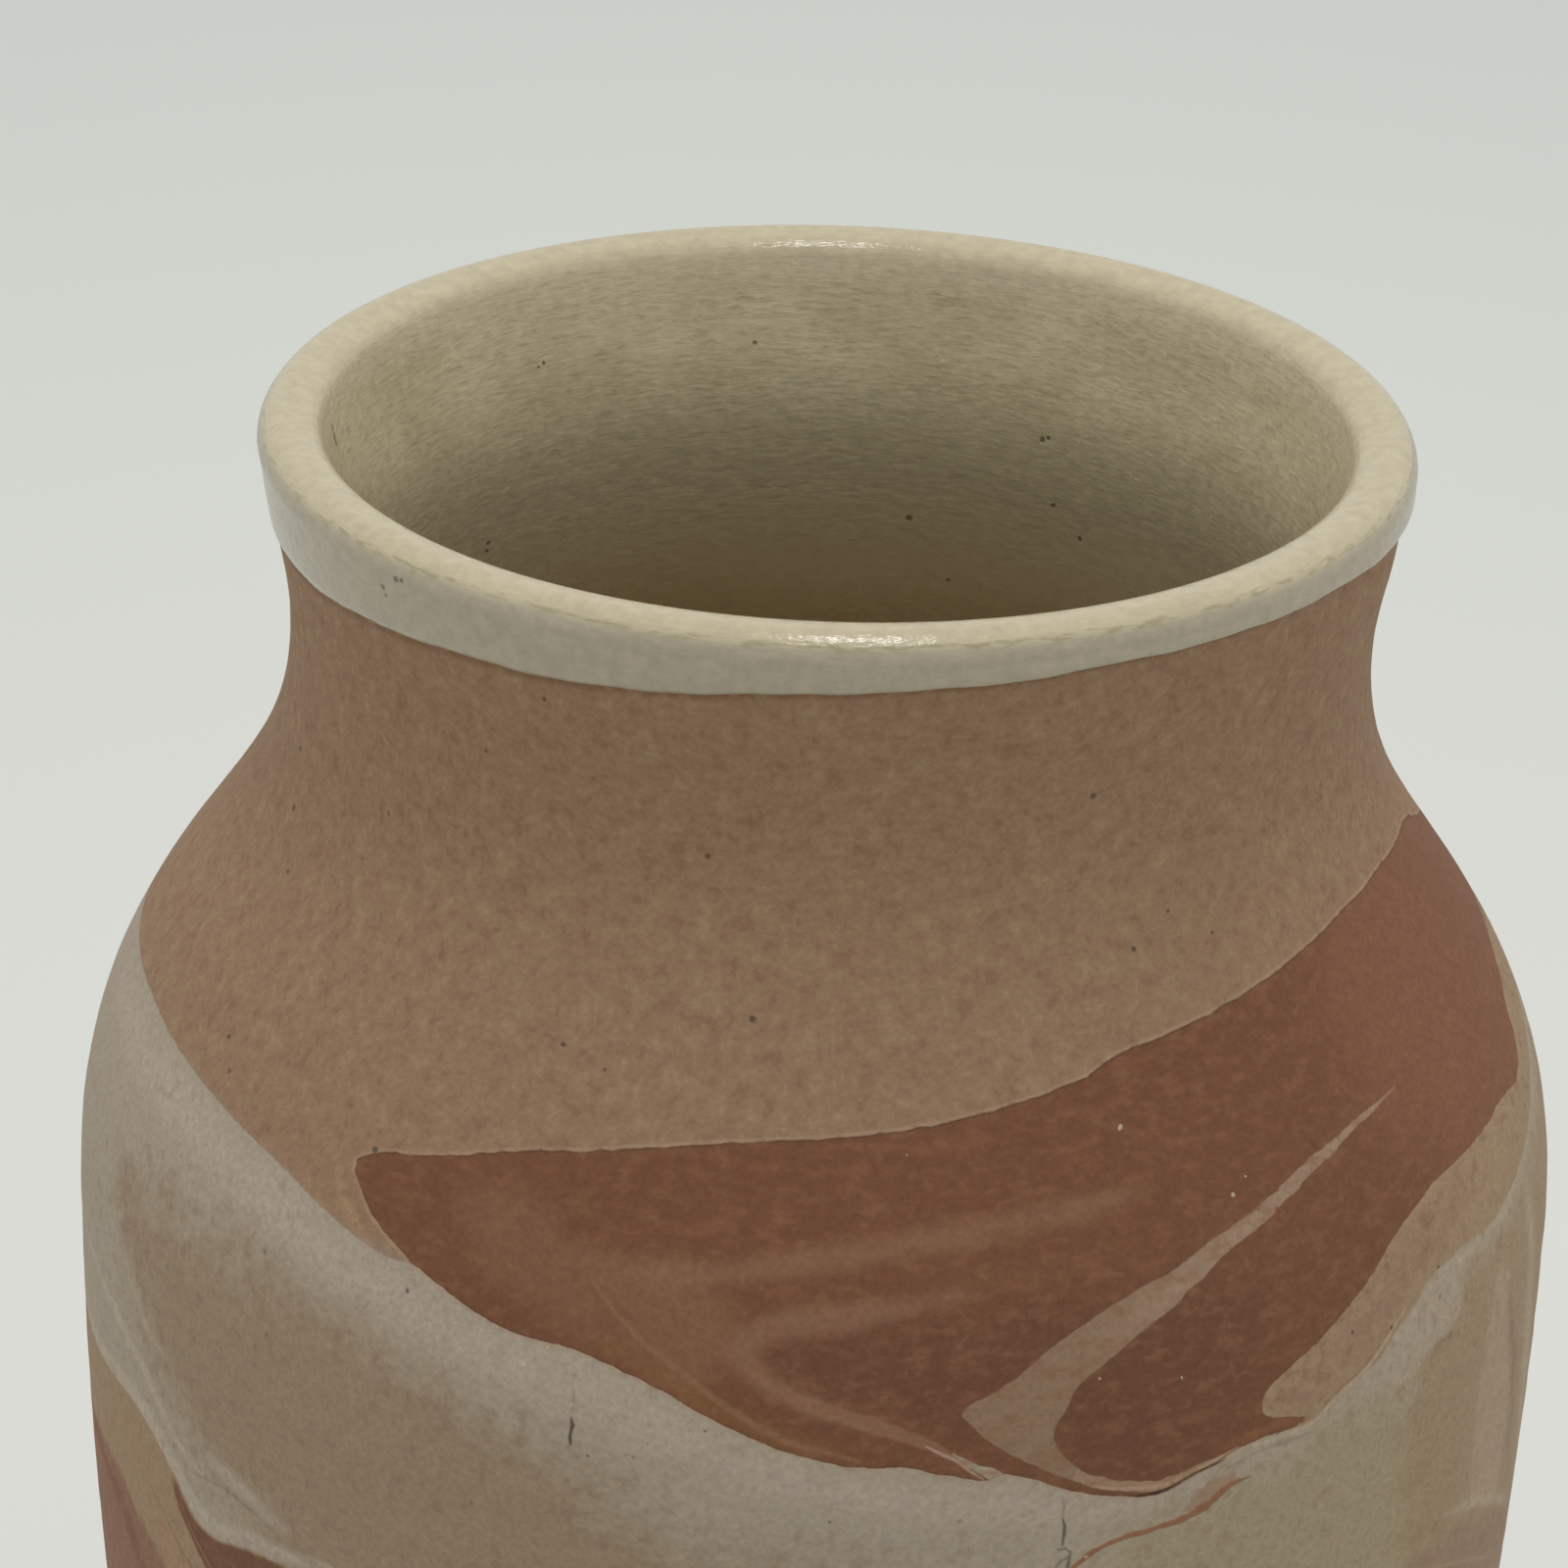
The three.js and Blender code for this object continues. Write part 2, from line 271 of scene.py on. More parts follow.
# Turns a profile round the vase's axis, as the wheel does, with the faint rings and wobble of a thrown pot
def wheelTree():
    tree = bpy.data.node_groups.new("thrown on the wheel", "GeometryNodeTree")
    sockets = {}
    for name, kind in [("Profile", "Geometry"), ("Columns", "Int"), ("Front Share", "Float"),
                       ("Wobble", "Float"), ("Wobble Rise", "Float"), ("Ring Depth", "Float"),
                       ("Ring Spacing", "Float"), ("Ring Drift", "Float"), ("Belly Radius", "Float"),
                       ("Seed", "Float"), ("Material", "Material")]:
        socket = tree.interface.new_socket(name=name, in_out="INPUT", socket_type="NodeSocket" + kind)
        sockets[name] = socket.identifier
    tree.interface.new_socket(name="Vase", in_out="OUTPUT", socket_type="NodeSocketGeometry")
    given = addNode(tree, "NodeGroupInput", {}, {}).outputs
    rows = addNode(tree, "GeometryNodeAttributeDomainSize", {"component": "CURVE"}, {
        "Geometry": given["Profile"]}).outputs["Point Count"]
    columnEnds = addNode(tree, "ShaderNodeMath", {"operation": "ADD"}, {0: given["Columns"], 1: 1.0})
    grid = addNode(tree, "GeometryNodeMeshGrid", {}, {
        "Size X": 1.0, "Size Y": 1.0, "Vertices X": columnEnds, "Vertices Y": rows})

    # Each row of the grid goes to one point of the profile
    place = addNode(tree, "GeometryNodeInputPosition", {}, {})
    onGrid = addNode(tree, "ShaderNodeSeparateXYZ", {}, {0: place}).outputs
    rowShare = addNode(tree, "ShaderNodeMath", {"operation": "ADD"}, {0: onGrid["Y"], 1: 0.5})
    lastRow = addNode(tree, "ShaderNodeMath", {"operation": "SUBTRACT"}, {0: rows, 1: 1.0})
    row = addNode(tree, "ShaderNodeMath", {"operation": "MULTIPLY"}, {0: rowShare, 1: lastRow})
    row = addNode(tree, "ShaderNodeMath", {"operation": "ROUND"}, {0: row})
    sample = addNode(tree, "GeometryNodeSampleIndex", {"data_type": "FLOAT_VECTOR"}, {
        "Geometry": given["Profile"], "Value": place, "Index": row})
    onProfile = addNode(tree, "ShaderNodeSeparateXYZ", {}, {0: sample}).outputs
    height = onProfile["Z"]

    # Each column goes to an angle, and the angles are drawn together at the front
    turn = addNode(tree, "ShaderNodeMath", {"operation": "MULTIPLY"}, {0: onGrid["X"], 1: math.tau})
    pull = addNode(tree, "ShaderNodeMath", {"operation": "SINE"}, {0: turn})
    pull = addNode(tree, "ShaderNodeMath", {"operation": "MULTIPLY"}, {0: pull, 1: given["Front Share"]})
    angle = addNode(tree, "ShaderNodeMath", {"operation": "SUBTRACT"}, {0: turn, 1: pull})
    right = addNode(tree, "ShaderNodeMath", {"operation": "SINE"}, {0: angle})
    front = addNode(tree, "ShaderNodeMath", {"operation": "COSINE"}, {0: angle})
    front = addNode(tree, "ShaderNodeMath", {"operation": "MULTIPLY"}, {0: front, 1: -1.0})

    # Slow bumps all round make the wobble, and bands that hardly change along a turn make the rings
    rise = addNode(tree, "ShaderNodeMath", {"operation": "MULTIPLY"}, {0: height, 1: given["Wobble Rise"]})
    slowPlace = addNode(tree, "ShaderNodeCombineXYZ", {}, {0: right, 1: front, 2: rise})
    slow = addNode(tree, "ShaderNodeTexNoise", {"noise_dimensions": "4D"}, {
        "Vector": slowPlace, "W": given["Seed"], "Scale": 1.1, "Detail": 1.0})
    swing = addNode(tree, "ShaderNodeMapRange", {}, {
        "Value": slow, "From Min": 0.25, "From Max": 0.75, "To Min": -1.0})
    swing = addNode(tree, "ShaderNodeMath", {"operation": "MULTIPLY"}, {0: swing, 1: given["Wobble"]})
    drift = addNode(tree, "ShaderNodeCombineXYZ", {}, {0: right, 1: front})
    drift = addNode(tree, "ShaderNodeVectorMath", {"operation": "SCALE"}, {
        0: drift, "Scale": given["Ring Drift"]})
    bands = addNode(tree, "ShaderNodeMath", {"operation": "DIVIDE"}, {0: height, 1: given["Ring Spacing"]})
    bands = addNode(tree, "ShaderNodeCombineXYZ", {}, {2: bands})
    bands = addNode(tree, "ShaderNodeVectorMath", {"operation": "ADD"}, {0: bands, 1: drift})
    rings = addNode(tree, "ShaderNodeTexNoise", {"noise_dimensions": "4D"}, {
        "Vector": bands, "W": given["Seed"], "Scale": 1.0, "Detail": 2.0})
    ripple = addNode(tree, "ShaderNodeMapRange", {}, {
        "Value": rings, "From Min": 0.25, "From Max": 0.75, "To Min": -1.0})
    ripple = addNode(tree, "ShaderNodeMath", {"operation": "MULTIPLY"}, {0: ripple, 1: given["Ring Depth"]})

    # The axis stays closed, because the growth is a share of the radius
    growth = addNode(tree, "ShaderNodeMath", {"operation": "ADD"}, {0: swing, 1: ripple})
    growth = addNode(tree, "ShaderNodeMath", {"operation": "DIVIDE"}, {0: growth, 1: given["Belly Radius"]})
    radius = addNode(tree, "ShaderNodeMath", {"operation": "MULTIPLY_ADD"}, {
        0: onProfile["X"], 1: growth, 2: onProfile["X"]})
    x = addNode(tree, "ShaderNodeMath", {"operation": "MULTIPLY"}, {0: radius, 1: right})
    y = addNode(tree, "ShaderNodeMath", {"operation": "MULTIPLY"}, {0: radius, 1: front})
    turned = addNode(tree, "ShaderNodeCombineXYZ", {}, {0: x, 1: y, 2: height})
    placed = addNode(tree, "GeometryNodeSetPosition", {}, {"Geometry": grid, "Position": turned})
    closed = addNode(tree, "GeometryNodeMergeByDistance", {}, {"Geometry": placed, "Distance": 1e-6})
    outwards = addNode(tree, "GeometryNodeFlipFaces", {}, {"Mesh": closed})
    shaded = addNode(tree, "GeometryNodeSetShadeSmooth", {}, {"Geometry": outwards})
    real = addNode(tree, "GeometryNodeRealizeInstances", {}, {"Geometry": shaded})
    dressed = addNode(tree, "GeometryNodeSetMaterial", {}, {"Geometry": real, "Material": given["Material"]})
    addNode(tree, "NodeGroupOutput", {}, {"Vase": dressed})
    return tree, sockets


wheel, wheelSockets = wheelTree()


def throw(name, line, columns, material):
    profile = makeProfile(name + "_profile", line)
    modifier = profile.modifiers.new("wheel", "NODES")
    modifier.node_group = wheel
    for socketName, value in {
        "Columns": columns, "Front Share": wall["frontShare"],
        "Wobble": thrown["wobble"] * metre, "Wobble Rise": thrown["wobbleRise"],
        "Ring Depth": thrown["ringDepth"] * metre, "Ring Spacing": thrown["ringSpacing"] * metre,
        "Ring Drift": thrown["ringDrift"], "Belly Radius": bellyRadius * metre, "Seed": thrown["seed"],
        "Material": material,
    }.items():
        modifier[wheelSockets[socketName]] = value
    evaluated = profile.evaluated_get(bpy.context.evaluated_depsgraph_get())
    mesh = bpy.data.meshes.new_from_object(evaluated)
    mesh.name = name
    curve = profile.data
    bpy.data.objects.remove(profile)
    bpy.data.curves.remove(curve)
    piece = bpy.data.objects.new(name, mesh)
    bpy.context.scene.collection.objects.link(piece)
    print(name, "thrown, with", len(mesh.polygons), "faces")
    return piece


# Points of a smooth line through a few chosen ones
def smoothLine(points, closed, steps=6):
    points = np.array(points, float)
    if closed:
        before, after, last = np.roll(points, 1, 0), np.roll(points, -1, 0), np.roll(points, -2, 0)
        spans = zip(before, points, after, last)
    else:
        padded = np.vstack([points[0], points, points[-1]])
        spans = zip(padded, padded[1:], padded[2:], padded[3:])
    line = []
    for a, b, c, d in spans:
        for share in np.arange(steps) / steps:
            line.append(0.5 * (2 * b + (c - a) * share + (2 * a - 5 * b + 4 * c - d) * share ** 2
                               + (3 * b - a - 3 * c + d) * share ** 3))
    if not closed:
        line.append(points[-1])
    return np.array(line)


# The marbling, from the undermost clay to the topmost, drawn as [degrees, drop].
# An area is a closed outline, and "soft" is how wide its edge fades. A streak runs along a line, "width" to
# each side of it in its middle. A thread is thinner, and the shader draws it, half as wide as its "halves"
# say at its start, middle and end, with an edge of its own "soft" or the usual one. "amount" is how much of
# the clay below stays hidden, and "within" names the clay that a cloud or streak stays inside.
marbling = {
    "greyClay": {"colour": "#a09382", "soft": 0.16, "area": [
        [-197, 120], [-194, 72], [-190, 60.6], [-180, 58.2], [-172, 55.8], [-150, 48.3], [-120, 42.8],
        [-100, 40.5],
        [-76, 39.7], [-65, 40], [-55, 40.7], [-47, 41.5], [-42, 42.4], [-36, 43.7], [-33, 44.1],
        [-30, 44], [-10, 44], [10, 50], [26, 52], [39.4, 54.4], [44, 50.6], [50, 48], [60, 46.6],
        [75, 45], [88, 42], [96, 41.6], [110, 44], [124, 49], [140, 57], [155, 61], [170, 60], [180, 58.2],
        [188, 55.8], [193, 70], [197, 120], [198, 230], [-198, 230]]},
    "taupeHaze": {"colour": "#8e785f", "soft": 8, "amount": 0.8, "area": [
        [-66, 51], [-56, 48.8], [-42, 48], [-30, 49.8], [-20, 53], [-12, 57], [-4, 60], [12, 63],
        [30, 68], [46, 76], [60, 90], [50, 104], [20, 106], [-18, 92], [-34, 78], [-42, 69], [-54, 64]]},
    "taupeBack": {"colour": "#8f7963", "soft": 10, "amount": 0.7, "area": [
        [106, 66], [140, 74], [180, 70], [216, 60], [250, 58], [262, 66], [240, 84], [200, 96], [150, 96],
        [112, 84]]},
    "taupeFoot": {"colour": "#897259", "soft": 12, "amount": 0.7, "area": [
        [-215, 122], [-150, 130], [-80, 124], [-20, 136], [50, 132], [110, 120], [160, 128], [215, 122],
        [215, 150], [-215, 150]]},
    "paleEdge": {"colour": "#ac9e8e", "soft": 3.6, "amount": 0.7, "streak": [
        [-84, 42], [-60, 42.6], [-46, 44], [-36, 46], [-26, 47.6], [-15, 49.2], [-5, 52.8], [4, 54.6],
        [14, 56], [27, 58]], "width": 1.5},
    "oliveHaze": {"colour": "#9a8b70", "soft": 6, "amount": 0.95, "area": [
        [22, 61], [28, 58.6], [36, 56.8], [44, 55], [50, 56], [54, 62], [58, 72], [50, 80], [36, 76],
        [22, 68]]},
    "tanHaze": {"colour": "#978165", "soft": 4.4, "amount": 0.9, "area": [
        [50, 57], [53, 53.6], [59, 50.2], [72, 48.9], [86, 45.6], [100, 45], [112, 56], [106, 74], [90, 84],
        [66, 80], [52, 72]]},
    "stripPale": {"colour": "#a6967f", "soft": 0.6, "amount": 0.8, "streak": [
        [56, 50.4], [58.6, 49.7], [61, 49.8], [65, 49.6], [67.4, 48.9], [70, 48], [76, 46.6], [84, 44.4]],
        "width": 0.55},
    "wedge": {"colour": "#a39380", "soft": 1, "amount": 0.85, "area": [
        [47, 53.6], [48.4, 52.2], [50, 50.8], [54, 49.4], [56.4, 50.2], [57.6, 51.2], [57.6, 52.6],
        [56.8, 53.5], [55.6, 54], [54, 54.1], [52.8, 54.4], [51.8, 54.8], [50, 55.4], [48, 55]]},
    "wedgeShade": {"colour": "#7f6851", "soft": 0.6, "amount": 0.6, "streak": [
        [58.2, 51.6], [58, 52.8], [57.2, 53.8], [55.8, 54.4], [54, 54.4], [53.1, 54.8], [52.5, 55.6],
        [51.8, 57], [51, 58.4]], "width": 0.2},
    "rightPink": {"colour": "#a7927c", "soft": 1.2, "amount": 0.6, "area": [
        [64.4, 53], [62.8, 55], [62, 57.4], [62, 59.4], [61, 62], [61.3, 66.2], [62, 70.4], [65.6, 72.2],
        [69.6, 73.8], [69, 70.6], [69.3, 67], [68.6, 63.4], [67.2, 60.2], [66.4, 57], [66.2, 54.4]]},
    "rightShade": {"colour": "#867159", "soft": 1, "amount": 0.7, "streak": [
        [66.4, 55], [67.8, 59], [69.6, 62.8], [70.6, 66], [71.6, 72]], "width": 0.4},
    "rightPale": {"colour": "#ac9e89", "soft": 2.6, "amount": 0.6, "streak": [
        [72, 50], [73, 56], [74.6, 63], [77, 72], [82, 82]], "width": 1.3},
    "pinkDrift": {"colour": "#907763", "soft": 2.4, "amount": 0.8, "area": [
        [40, 72.6], [48, 71.6], [53.2, 71.3], [55.5, 71], [58.8, 71.5], [63.8, 73], [69.2, 74.9],
        [75, 77.6], [80, 83], [84, 90], [70, 94], [54, 84], [44, 76]]},
    "pinkPale": {"colour": "#b1a28d", "soft": 0.8, "amount": 0.7, "streak": [
        [57, 69.4], [62, 70.7], [65.6, 72.4], [70.5, 74.7], [76, 78]], "width": 0.35},
    "lowLight": {"colour": "#a8917b", "halves": [0.02, 0.2, 0.02], "soft": 0.3, "amount": 0.35, "thread": [
        [55, 73], [57.7, 73.9], [63.9, 76.4], [70.1, 79.4]]},
    "oliveLine": {"colour": "#776850", "halves": [0.02, 0.06, 0.04], "amount": 0.5, "thread": [
        [43.6, 64.4], [43.3, 66], [43.1, 67.8], [43.2, 70]]},
    "leftPaleFour": {"colour": "#ab9d8a", "soft": 1.2, "amount": 0.6, "streak": [
        [-68, 53.8], [-63, 55.7], [-61.6, 56.6], [-60.2, 57.9], [-58.8, 58.8], [-56.9, 59.4], [-54.4, 60]],
        "width": 0.4},
    "leftPaleOne": {"colour": "#afa28f", "soft": 0.8, "amount": 0.75, "streak": [
        [-82, 58.2], [-72.4, 59.4], [-69, 60.2], [-65.7, 60.7], [-61.8, 61.8], [-59.4, 62.6], [-57, 64.1],
        [-55.6, 65], [-54.2, 65.8], [-52.2, 66.4], [-50, 67]], "width": 0.45},
    "leftPaleTwo": {"colour": "#b3a698", "soft": 1.4, "amount": 0.6, "streak": [
        [-50.4, 64.6], [-48.7, 65.1], [-46.7, 65.4], [-44.7, 65.8], [-43.2, 66.3], [-41, 66.7]],
        "width": 0.55},
    "leftShade": {"colour": "#7f6e5c", "halves": [0.02, 0.12, 0.02], "soft": 0.2, "amount": 0.5, "thread": [
        [-52.8, 67.3], [-50, 66.8], [-47.5, 66.5], [-45.2, 66.8], [-43.4, 67.2], [-41.7, 67.7]]},
    "leftPaleThree": {"colour": "#ac9f8e", "soft": 0.9, "amount": 0.85, "streak": [
        [-84, 66.2], [-73, 66.2], [-66.9, 65.9], [-63.3, 65.6], [-60.3, 65.9], [-57.5, 66.8], [-54.9, 68.1],
        [-53, 69.2], [-51, 70.2], [-48.7, 70.2], [-45, 69.4], [-41, 69], [-36, 68]], "width": 0.8},
    "lilacEdge": {"colour": "#a08d82", "soft": 0.7, "amount": 0.6, "streak": [
        [-52, 70.2], [-50.4, 70.8], [-48.7, 70.7], [-46, 70], [-43, 69.6], [-39, 69]], "width": 0.3},
    "tanLow": {"colour": "#967d61", "soft": 0.3, "amount": 0.95, "area": [
        [-96, 68], [-84, 67.2], [-73, 66.9], [-66.9, 66.5], [-63.3, 66.2], [-60.3, 66.5], [-58.5, 67],
        [-56.9, 67.8], [-54.9, 68.8], [-53.3, 70], [-51.2, 71], [-48.7, 71.1], [-45, 70.1], [-41.2, 69.8],
        [-36, 69.2], [-32, 70], [-22, 76], [-2, 92], [30, 107], [62, 114], [40, 130], [-20, 122],
        [-70, 110], [-110, 96], [-118, 80]]},
    "pinkLow": {"colour": "#9d7c62", "soft": 1.8, "amount": 0.8, "streak": [
        [-62, 69.4], [-59.9, 71.2], [-58.4, 73.2], [-56.6, 75.1], [-54, 77], [-46, 81], [-30, 89],
        [-10, 99]], "width": 1.1},
    "brownLine": {"colour": "#7e5c42", "halves": [0.03, 0.2, 0.14], "soft": 0.35, "amount": 0.45, "thread": [
        [-60, 71.2], [-58.3, 72.3], [-55.9, 73.6], [-53.8, 74.9], [-50, 77], [-44, 79.6]]},
    "terracottaLow": {"colour": "#714c3a", "soft": 0.4, "area": [
        [-55.6, 68.9], [-54.2, 69.7], [-52.6, 70.8], [-50.8, 71.3], [-48.7, 71.2], [-45, 70.3],
        [-41.2, 70], [-33, 70.8], [-24, 76.5], [-8, 88], [16, 100], [44, 108.5], [14, 104], [-12, 93],
        [-30, 81.5], [-42, 77.6], [-48, 75.8], [-51, 74.2], [-53, 72.6], [-54.6, 71]]},
    "rustLine": {"colour": "#946e4f", "halves": [0.03, 0.1, 0.06], "amount": 0.7, "thread": [
        [-54.4, 70.2], [-53, 71.8], [-51.6, 73], [-49, 74.6], [-44, 76.6]]},
    "rustLow": {"colour": "#855f4c", "soft": 1.2, "amount": 0.9, "area": [
        [-118, 79], [-104, 77.6], [-92, 76.8], [-84, 76], [-79.6, 75.4], [-74.2, 74.3], [-70, 74],
        [-67.1, 74.2], [-64.6, 74.8], [-62.5, 75.5], [-60.6, 76.2], [-58.8, 77], [-57, 78], [-50, 82],
        [-40, 88], [-26, 95], [-30, 101], [-46, 96], [-60, 92], [-80, 90], [-104, 90], [-122, 86]]},
    "rustDark": {"colour": "#7d5443", "soft": 1, "amount": 0.8, "streak": [
        [-84, 75.2], [-75.8, 75.4], [-72.8, 75.7], [-69.9, 76.2], [-67.6, 76.6], [-65.6, 77.2],
        [-63.7, 78.5], [-61, 80.4], [-54, 84.6], [-44, 90]], "width": 0.9},
    "tongue": {"colour": "#977e63", "soft": 0.3, "area": [
        [34, 51], [37, 49.6], [40, 48.4], [44, 46.6], [48, 44.8], [53, 43], [60, 42.2], [70, 42], [76, 42],
        [80, 40.6], [86, 38.4], [92, 38.6], [98, 40], [94, 42.4], [88, 43.4], [80, 45.8], [75, 47.2],
        [71, 48.1], [65.3, 49], [62, 49.2], [58.8, 48.8], [56, 49.1], [53.4, 49.2], [51.2, 50.4],
        [49.5, 51], [48, 51.8], [46.6, 52.7], [43.6, 53.6], [41.7, 54.3], [40, 55], [37, 54.9], [34, 54]]},
    "tonguePink": {"colour": "#8f705c", "soft": 3, "amount": 0.6, "streak": [
        [36.6, 53.6], [40, 52.6], [43, 51], [47, 49.2], [51, 47.4], [56, 46], [62, 45.4]], "width": 1.8},
    "tongueLine": {"colour": "#7d5f48", "halves": [0.1, 0.14, 0.02], "soft": 0.3, "amount": 0.35, "thread": [
        [40.4, 54.3], [43.5, 53.1], [46, 52.2], [48, 51], [49.6, 50.2]]},
    "hemPale": {"colour": "#ad9b86", "halves": [0.08, 0.17, 0.05], "soft": 0.14, "amount": 0.7, "thread": [
        [31.7, 55.6], [33.2, 55.25], [35.9, 55.25], [37.2, 55.15], [38.7, 55.25], [39.8, 55], [40.9, 54.5],
        [42.4, 53.8], [44.6, 53.1], [45.9, 52.5], [47.3, 51.7], [48.6, 50.9], [50.2, 50]]},
    "stripShade": {"colour": "#776750", "halves": [0.03, 0.16, 0.03], "soft": 0.3, "amount": 0.35, "thread": [
        [31.4, 56.5], [32.8, 56.1], [34.5, 55.8], [36.3, 55.75], [38.7, 55.8], [40.1, 55.6]]},
    "whiteGlint": {"colour": "#c5b7a2", "soft": 0.4, "amount": 0.7, "streak": [
        [57.2, 49.4], [57.9, 49.6], [58.6, 50]], "width": 0.24},
    "paleFleck": {"colour": "#b5a996", "soft": 0.6, "amount": 0.6, "streak": [
        [65.4, 54], [66, 54.3], [66.6, 54.8]], "width": 0.3},
    "tipPale": {"colour": "#a58866", "soft": 0.7, "amount": 0.6, "streak": [
        [-40.4, 39.6], [-39.2, 41], [-37.8, 42.2], [-35.6, 43.6]], "width": 0.4},
    "terracotta": {"colour": "#704932", "soft": 0.12, "area": [
        [-38.6, 39.6], [-37.5, 38.9], [-36, 38.4], [-33, 37.9], [-30, 37.3], [-24, 36], [-20, 35.5],
        [-15, 34.7], [-10, 34.1], [-5, 33.6], [0, 33.3], [5, 33], [10, 32.6], [15, 32.1], [20, 31.5],
        [24.7, 30.8], [27.3, 30.1], [30, 29.8], [35.3, 29.4], [40, 29], [44.7, 28.6], [50, 28.1],
        [55.3, 27.7], [60, 27.3], [64.7, 27.2], [70, 27.1], [74.7, 27.3], [80, 27.5], [84, 27.8],
        [88, 28.7], [94, 30.6], [104, 33.3], [120, 36.4], [136, 40.4], [150, 44.2], [140, 43.8],
        [126, 41.4], [112, 38.4], [102, 37.8], [94, 38], [88, 38.7], [84.7, 39.7], [82, 40.5],
        [80.9, 41.4], [80, 42.4], [78, 43.4], [75.7, 43.8], [73.3, 43.4], [70, 43.2], [66.7, 43.4],
        [60, 43.5], [56, 43.7], [52.7, 44.4], [50, 45.2], [48, 46.1], [46, 47.1], [44, 47.9], [40, 49.6],
        [38, 50.3], [36.5, 50.9], [35.3, 51.5], [34.7, 52.3], [34.8, 53], [35.4, 53.5], [36.6, 53.9],
        [38, 54.2], [39.4, 54.8], [38.4, 55], [36.3, 54.9], [34.6, 54.9], [33.2, 55], [31.9, 55.3],
        [30.6, 55.75], [29.1, 56], [28.3, 56.3], [27.5, 56.5], [26.5, 56.8], [25.1, 56.9], [23.6, 56.65],
        [21.7, 56.2], [20.2, 55.8], [19.1, 55.4], [17.9, 54.9], [16.8, 54.4], [15.4, 53.9], [14.2, 53.7],
        [13, 54], [11.8, 53.8], [10.8, 53.5], [9.4, 53.3], [8, 52.9], [6.9, 52.7], [5, 52.7], [3, 52.6],
        [0, 52], [-2, 51.5], [-4, 50.8], [-6, 50.1], [-8, 49.3], [-10, 48.4], [-12, 47.8], [-15, 47],
        [-17, 46.6], [-20, 46.5], [-22, 46.3], [-25, 45.7], [-28, 44.8], [-30, 44.2], [-32, 43.5],
        [-34, 42.7], [-35.5, 42], [-36.5, 41.3], [-37.5, 40.5]]},
    "terracottaGlow": {"colour": "#81563f", "soft": 12, "amount": 0.7, "within": "terracotta", "area": [
        [62, 20], [100, 20], [170, 30], [170, 56], [100, 52], [74, 48], [58, 44], [52, 34]]},
    "darkDepth": {"colour": "#654231", "soft": 5, "amount": 0.6, "within": "terracotta", "area": [
        [-2, 44], [6, 43.6], [20, 43], [34, 44], [34, 50], [24, 56], [16, 51], [8, 50], [0, 47.6],
        [-2.6, 46]]},
    "leftCloud": {"colour": "#7d5941", "soft": 3, "amount": 0.75, "within": "terracotta", "area": [
        [-28.4, 39.4], [-24.3, 38], [-20.8, 38.4], [-19.1, 39.8], [-17.6, 41.5], [-16.4, 43.6],
        [-13.1, 45.6], [-8.5, 47.6], [-9.2, 48.3], [-14.4, 46.4], [-19.2, 44.7], [-22.6, 43.6],
        [-25.6, 41.9]]},
    "archCloud": {"colour": "#7f5a41", "soft": 3, "amount": 0.85, "within": "terracotta", "area": [
        [-18.6, 40.4], [-15, 40.2], [-10, 40.6], [-6, 42], [-5, 45], [-7, 47], [-9, 47.6], [-12, 46.2],
        [-15, 44.2], [-18, 42.4]]},
    "archStreak": {"colour": "#866249", "soft": 1.4, "amount": 0.8, "within": "terracotta", "streak": [
        [-19.4, 41.2], [-17.4, 41], [-15.3, 41.1], [-12.2, 41.4], [-7.8, 41.1], [-3.4, 40.4], [2.5, 39.6],
        [8.5, 38.9], [13.2, 38.4], [18, 38], [22.1, 37.8], [28, 37.5]], "width": 0.7},
    "middleStreak": {"colour": "#7e573d", "soft": 1.6, "amount": 0.5, "within": "terracotta", "streak": [
        [-2, 42.2], [5, 42.4], [12, 41.4], [20, 40.9], [26, 40]], "width": 0.3},
    "rustEdge": {"colour": "#7e5732", "soft": 1, "amount": 0.65, "within": "terracotta", "streak": [
        [-16, 45.6], [-13, 46.4], [-9, 48], [-5, 49.6], [0, 51.3], [5, 52.2]], "width": 0.5},
    "archSide": {"colour": "#8a674c", "halves": [0.05, 0.22, 0.1], "soft": 0.3, "amount": 0.6, "thread": [
        [-16.7, 41.9], [-15, 43.3], [-13.2, 44.6], [-11.5, 45.7], [-10.2, 46.3], [-7.4, 47.9], [-4.9, 49.3],
        [-1.3, 51], [1.4, 51.6], [4.2, 52.3]]},
    "loopStreak": {"colour": "#83604a", "soft": 1.2, "amount": 0.85, "within": "terracotta", "streak": [
        [12, 42], [9.8, 42.2], [4.7, 42.8], [1.8, 43.2], [-1.7, 43.6], [-4.2, 44.5], [-4.8, 45.4],
        [-4, 46.4], [-2.6, 47.4], [-0.1, 48.4], [2.7, 49.2], [5.5, 50]], "width": 0.75},
    "loopTail": {"colour": "#88644d", "halves": [0.05, 0.55, 0.1], "soft": 0.4, "amount": 0.85, "thread": [
        [-4, 46.4], [-2.6, 47.4], [-0.1, 48.4], [2.7, 49.2], [5.5, 50], [8.3, 51], [10.8, 52.2]]},
    "tailPink": {"colour": "#b59683", "halves": [0.03, 0.13, 0.04], "amount": 0.8, "thread": [
        [8.6, 51.3], [9.7, 51.9], [10.8, 52.4], [11.5, 52.95], [12.2, 53.5], [12.9, 53.95]]},
    "notch": {"colour": "#9f917c", "halves": [0.04, 0.28, 0.5], "amount": 1, "thread": [
        [10.5, 51.9], [11.4, 52.5], [12.3, 53.05], [13.2, 53.5], [14.4, 54.1]]},
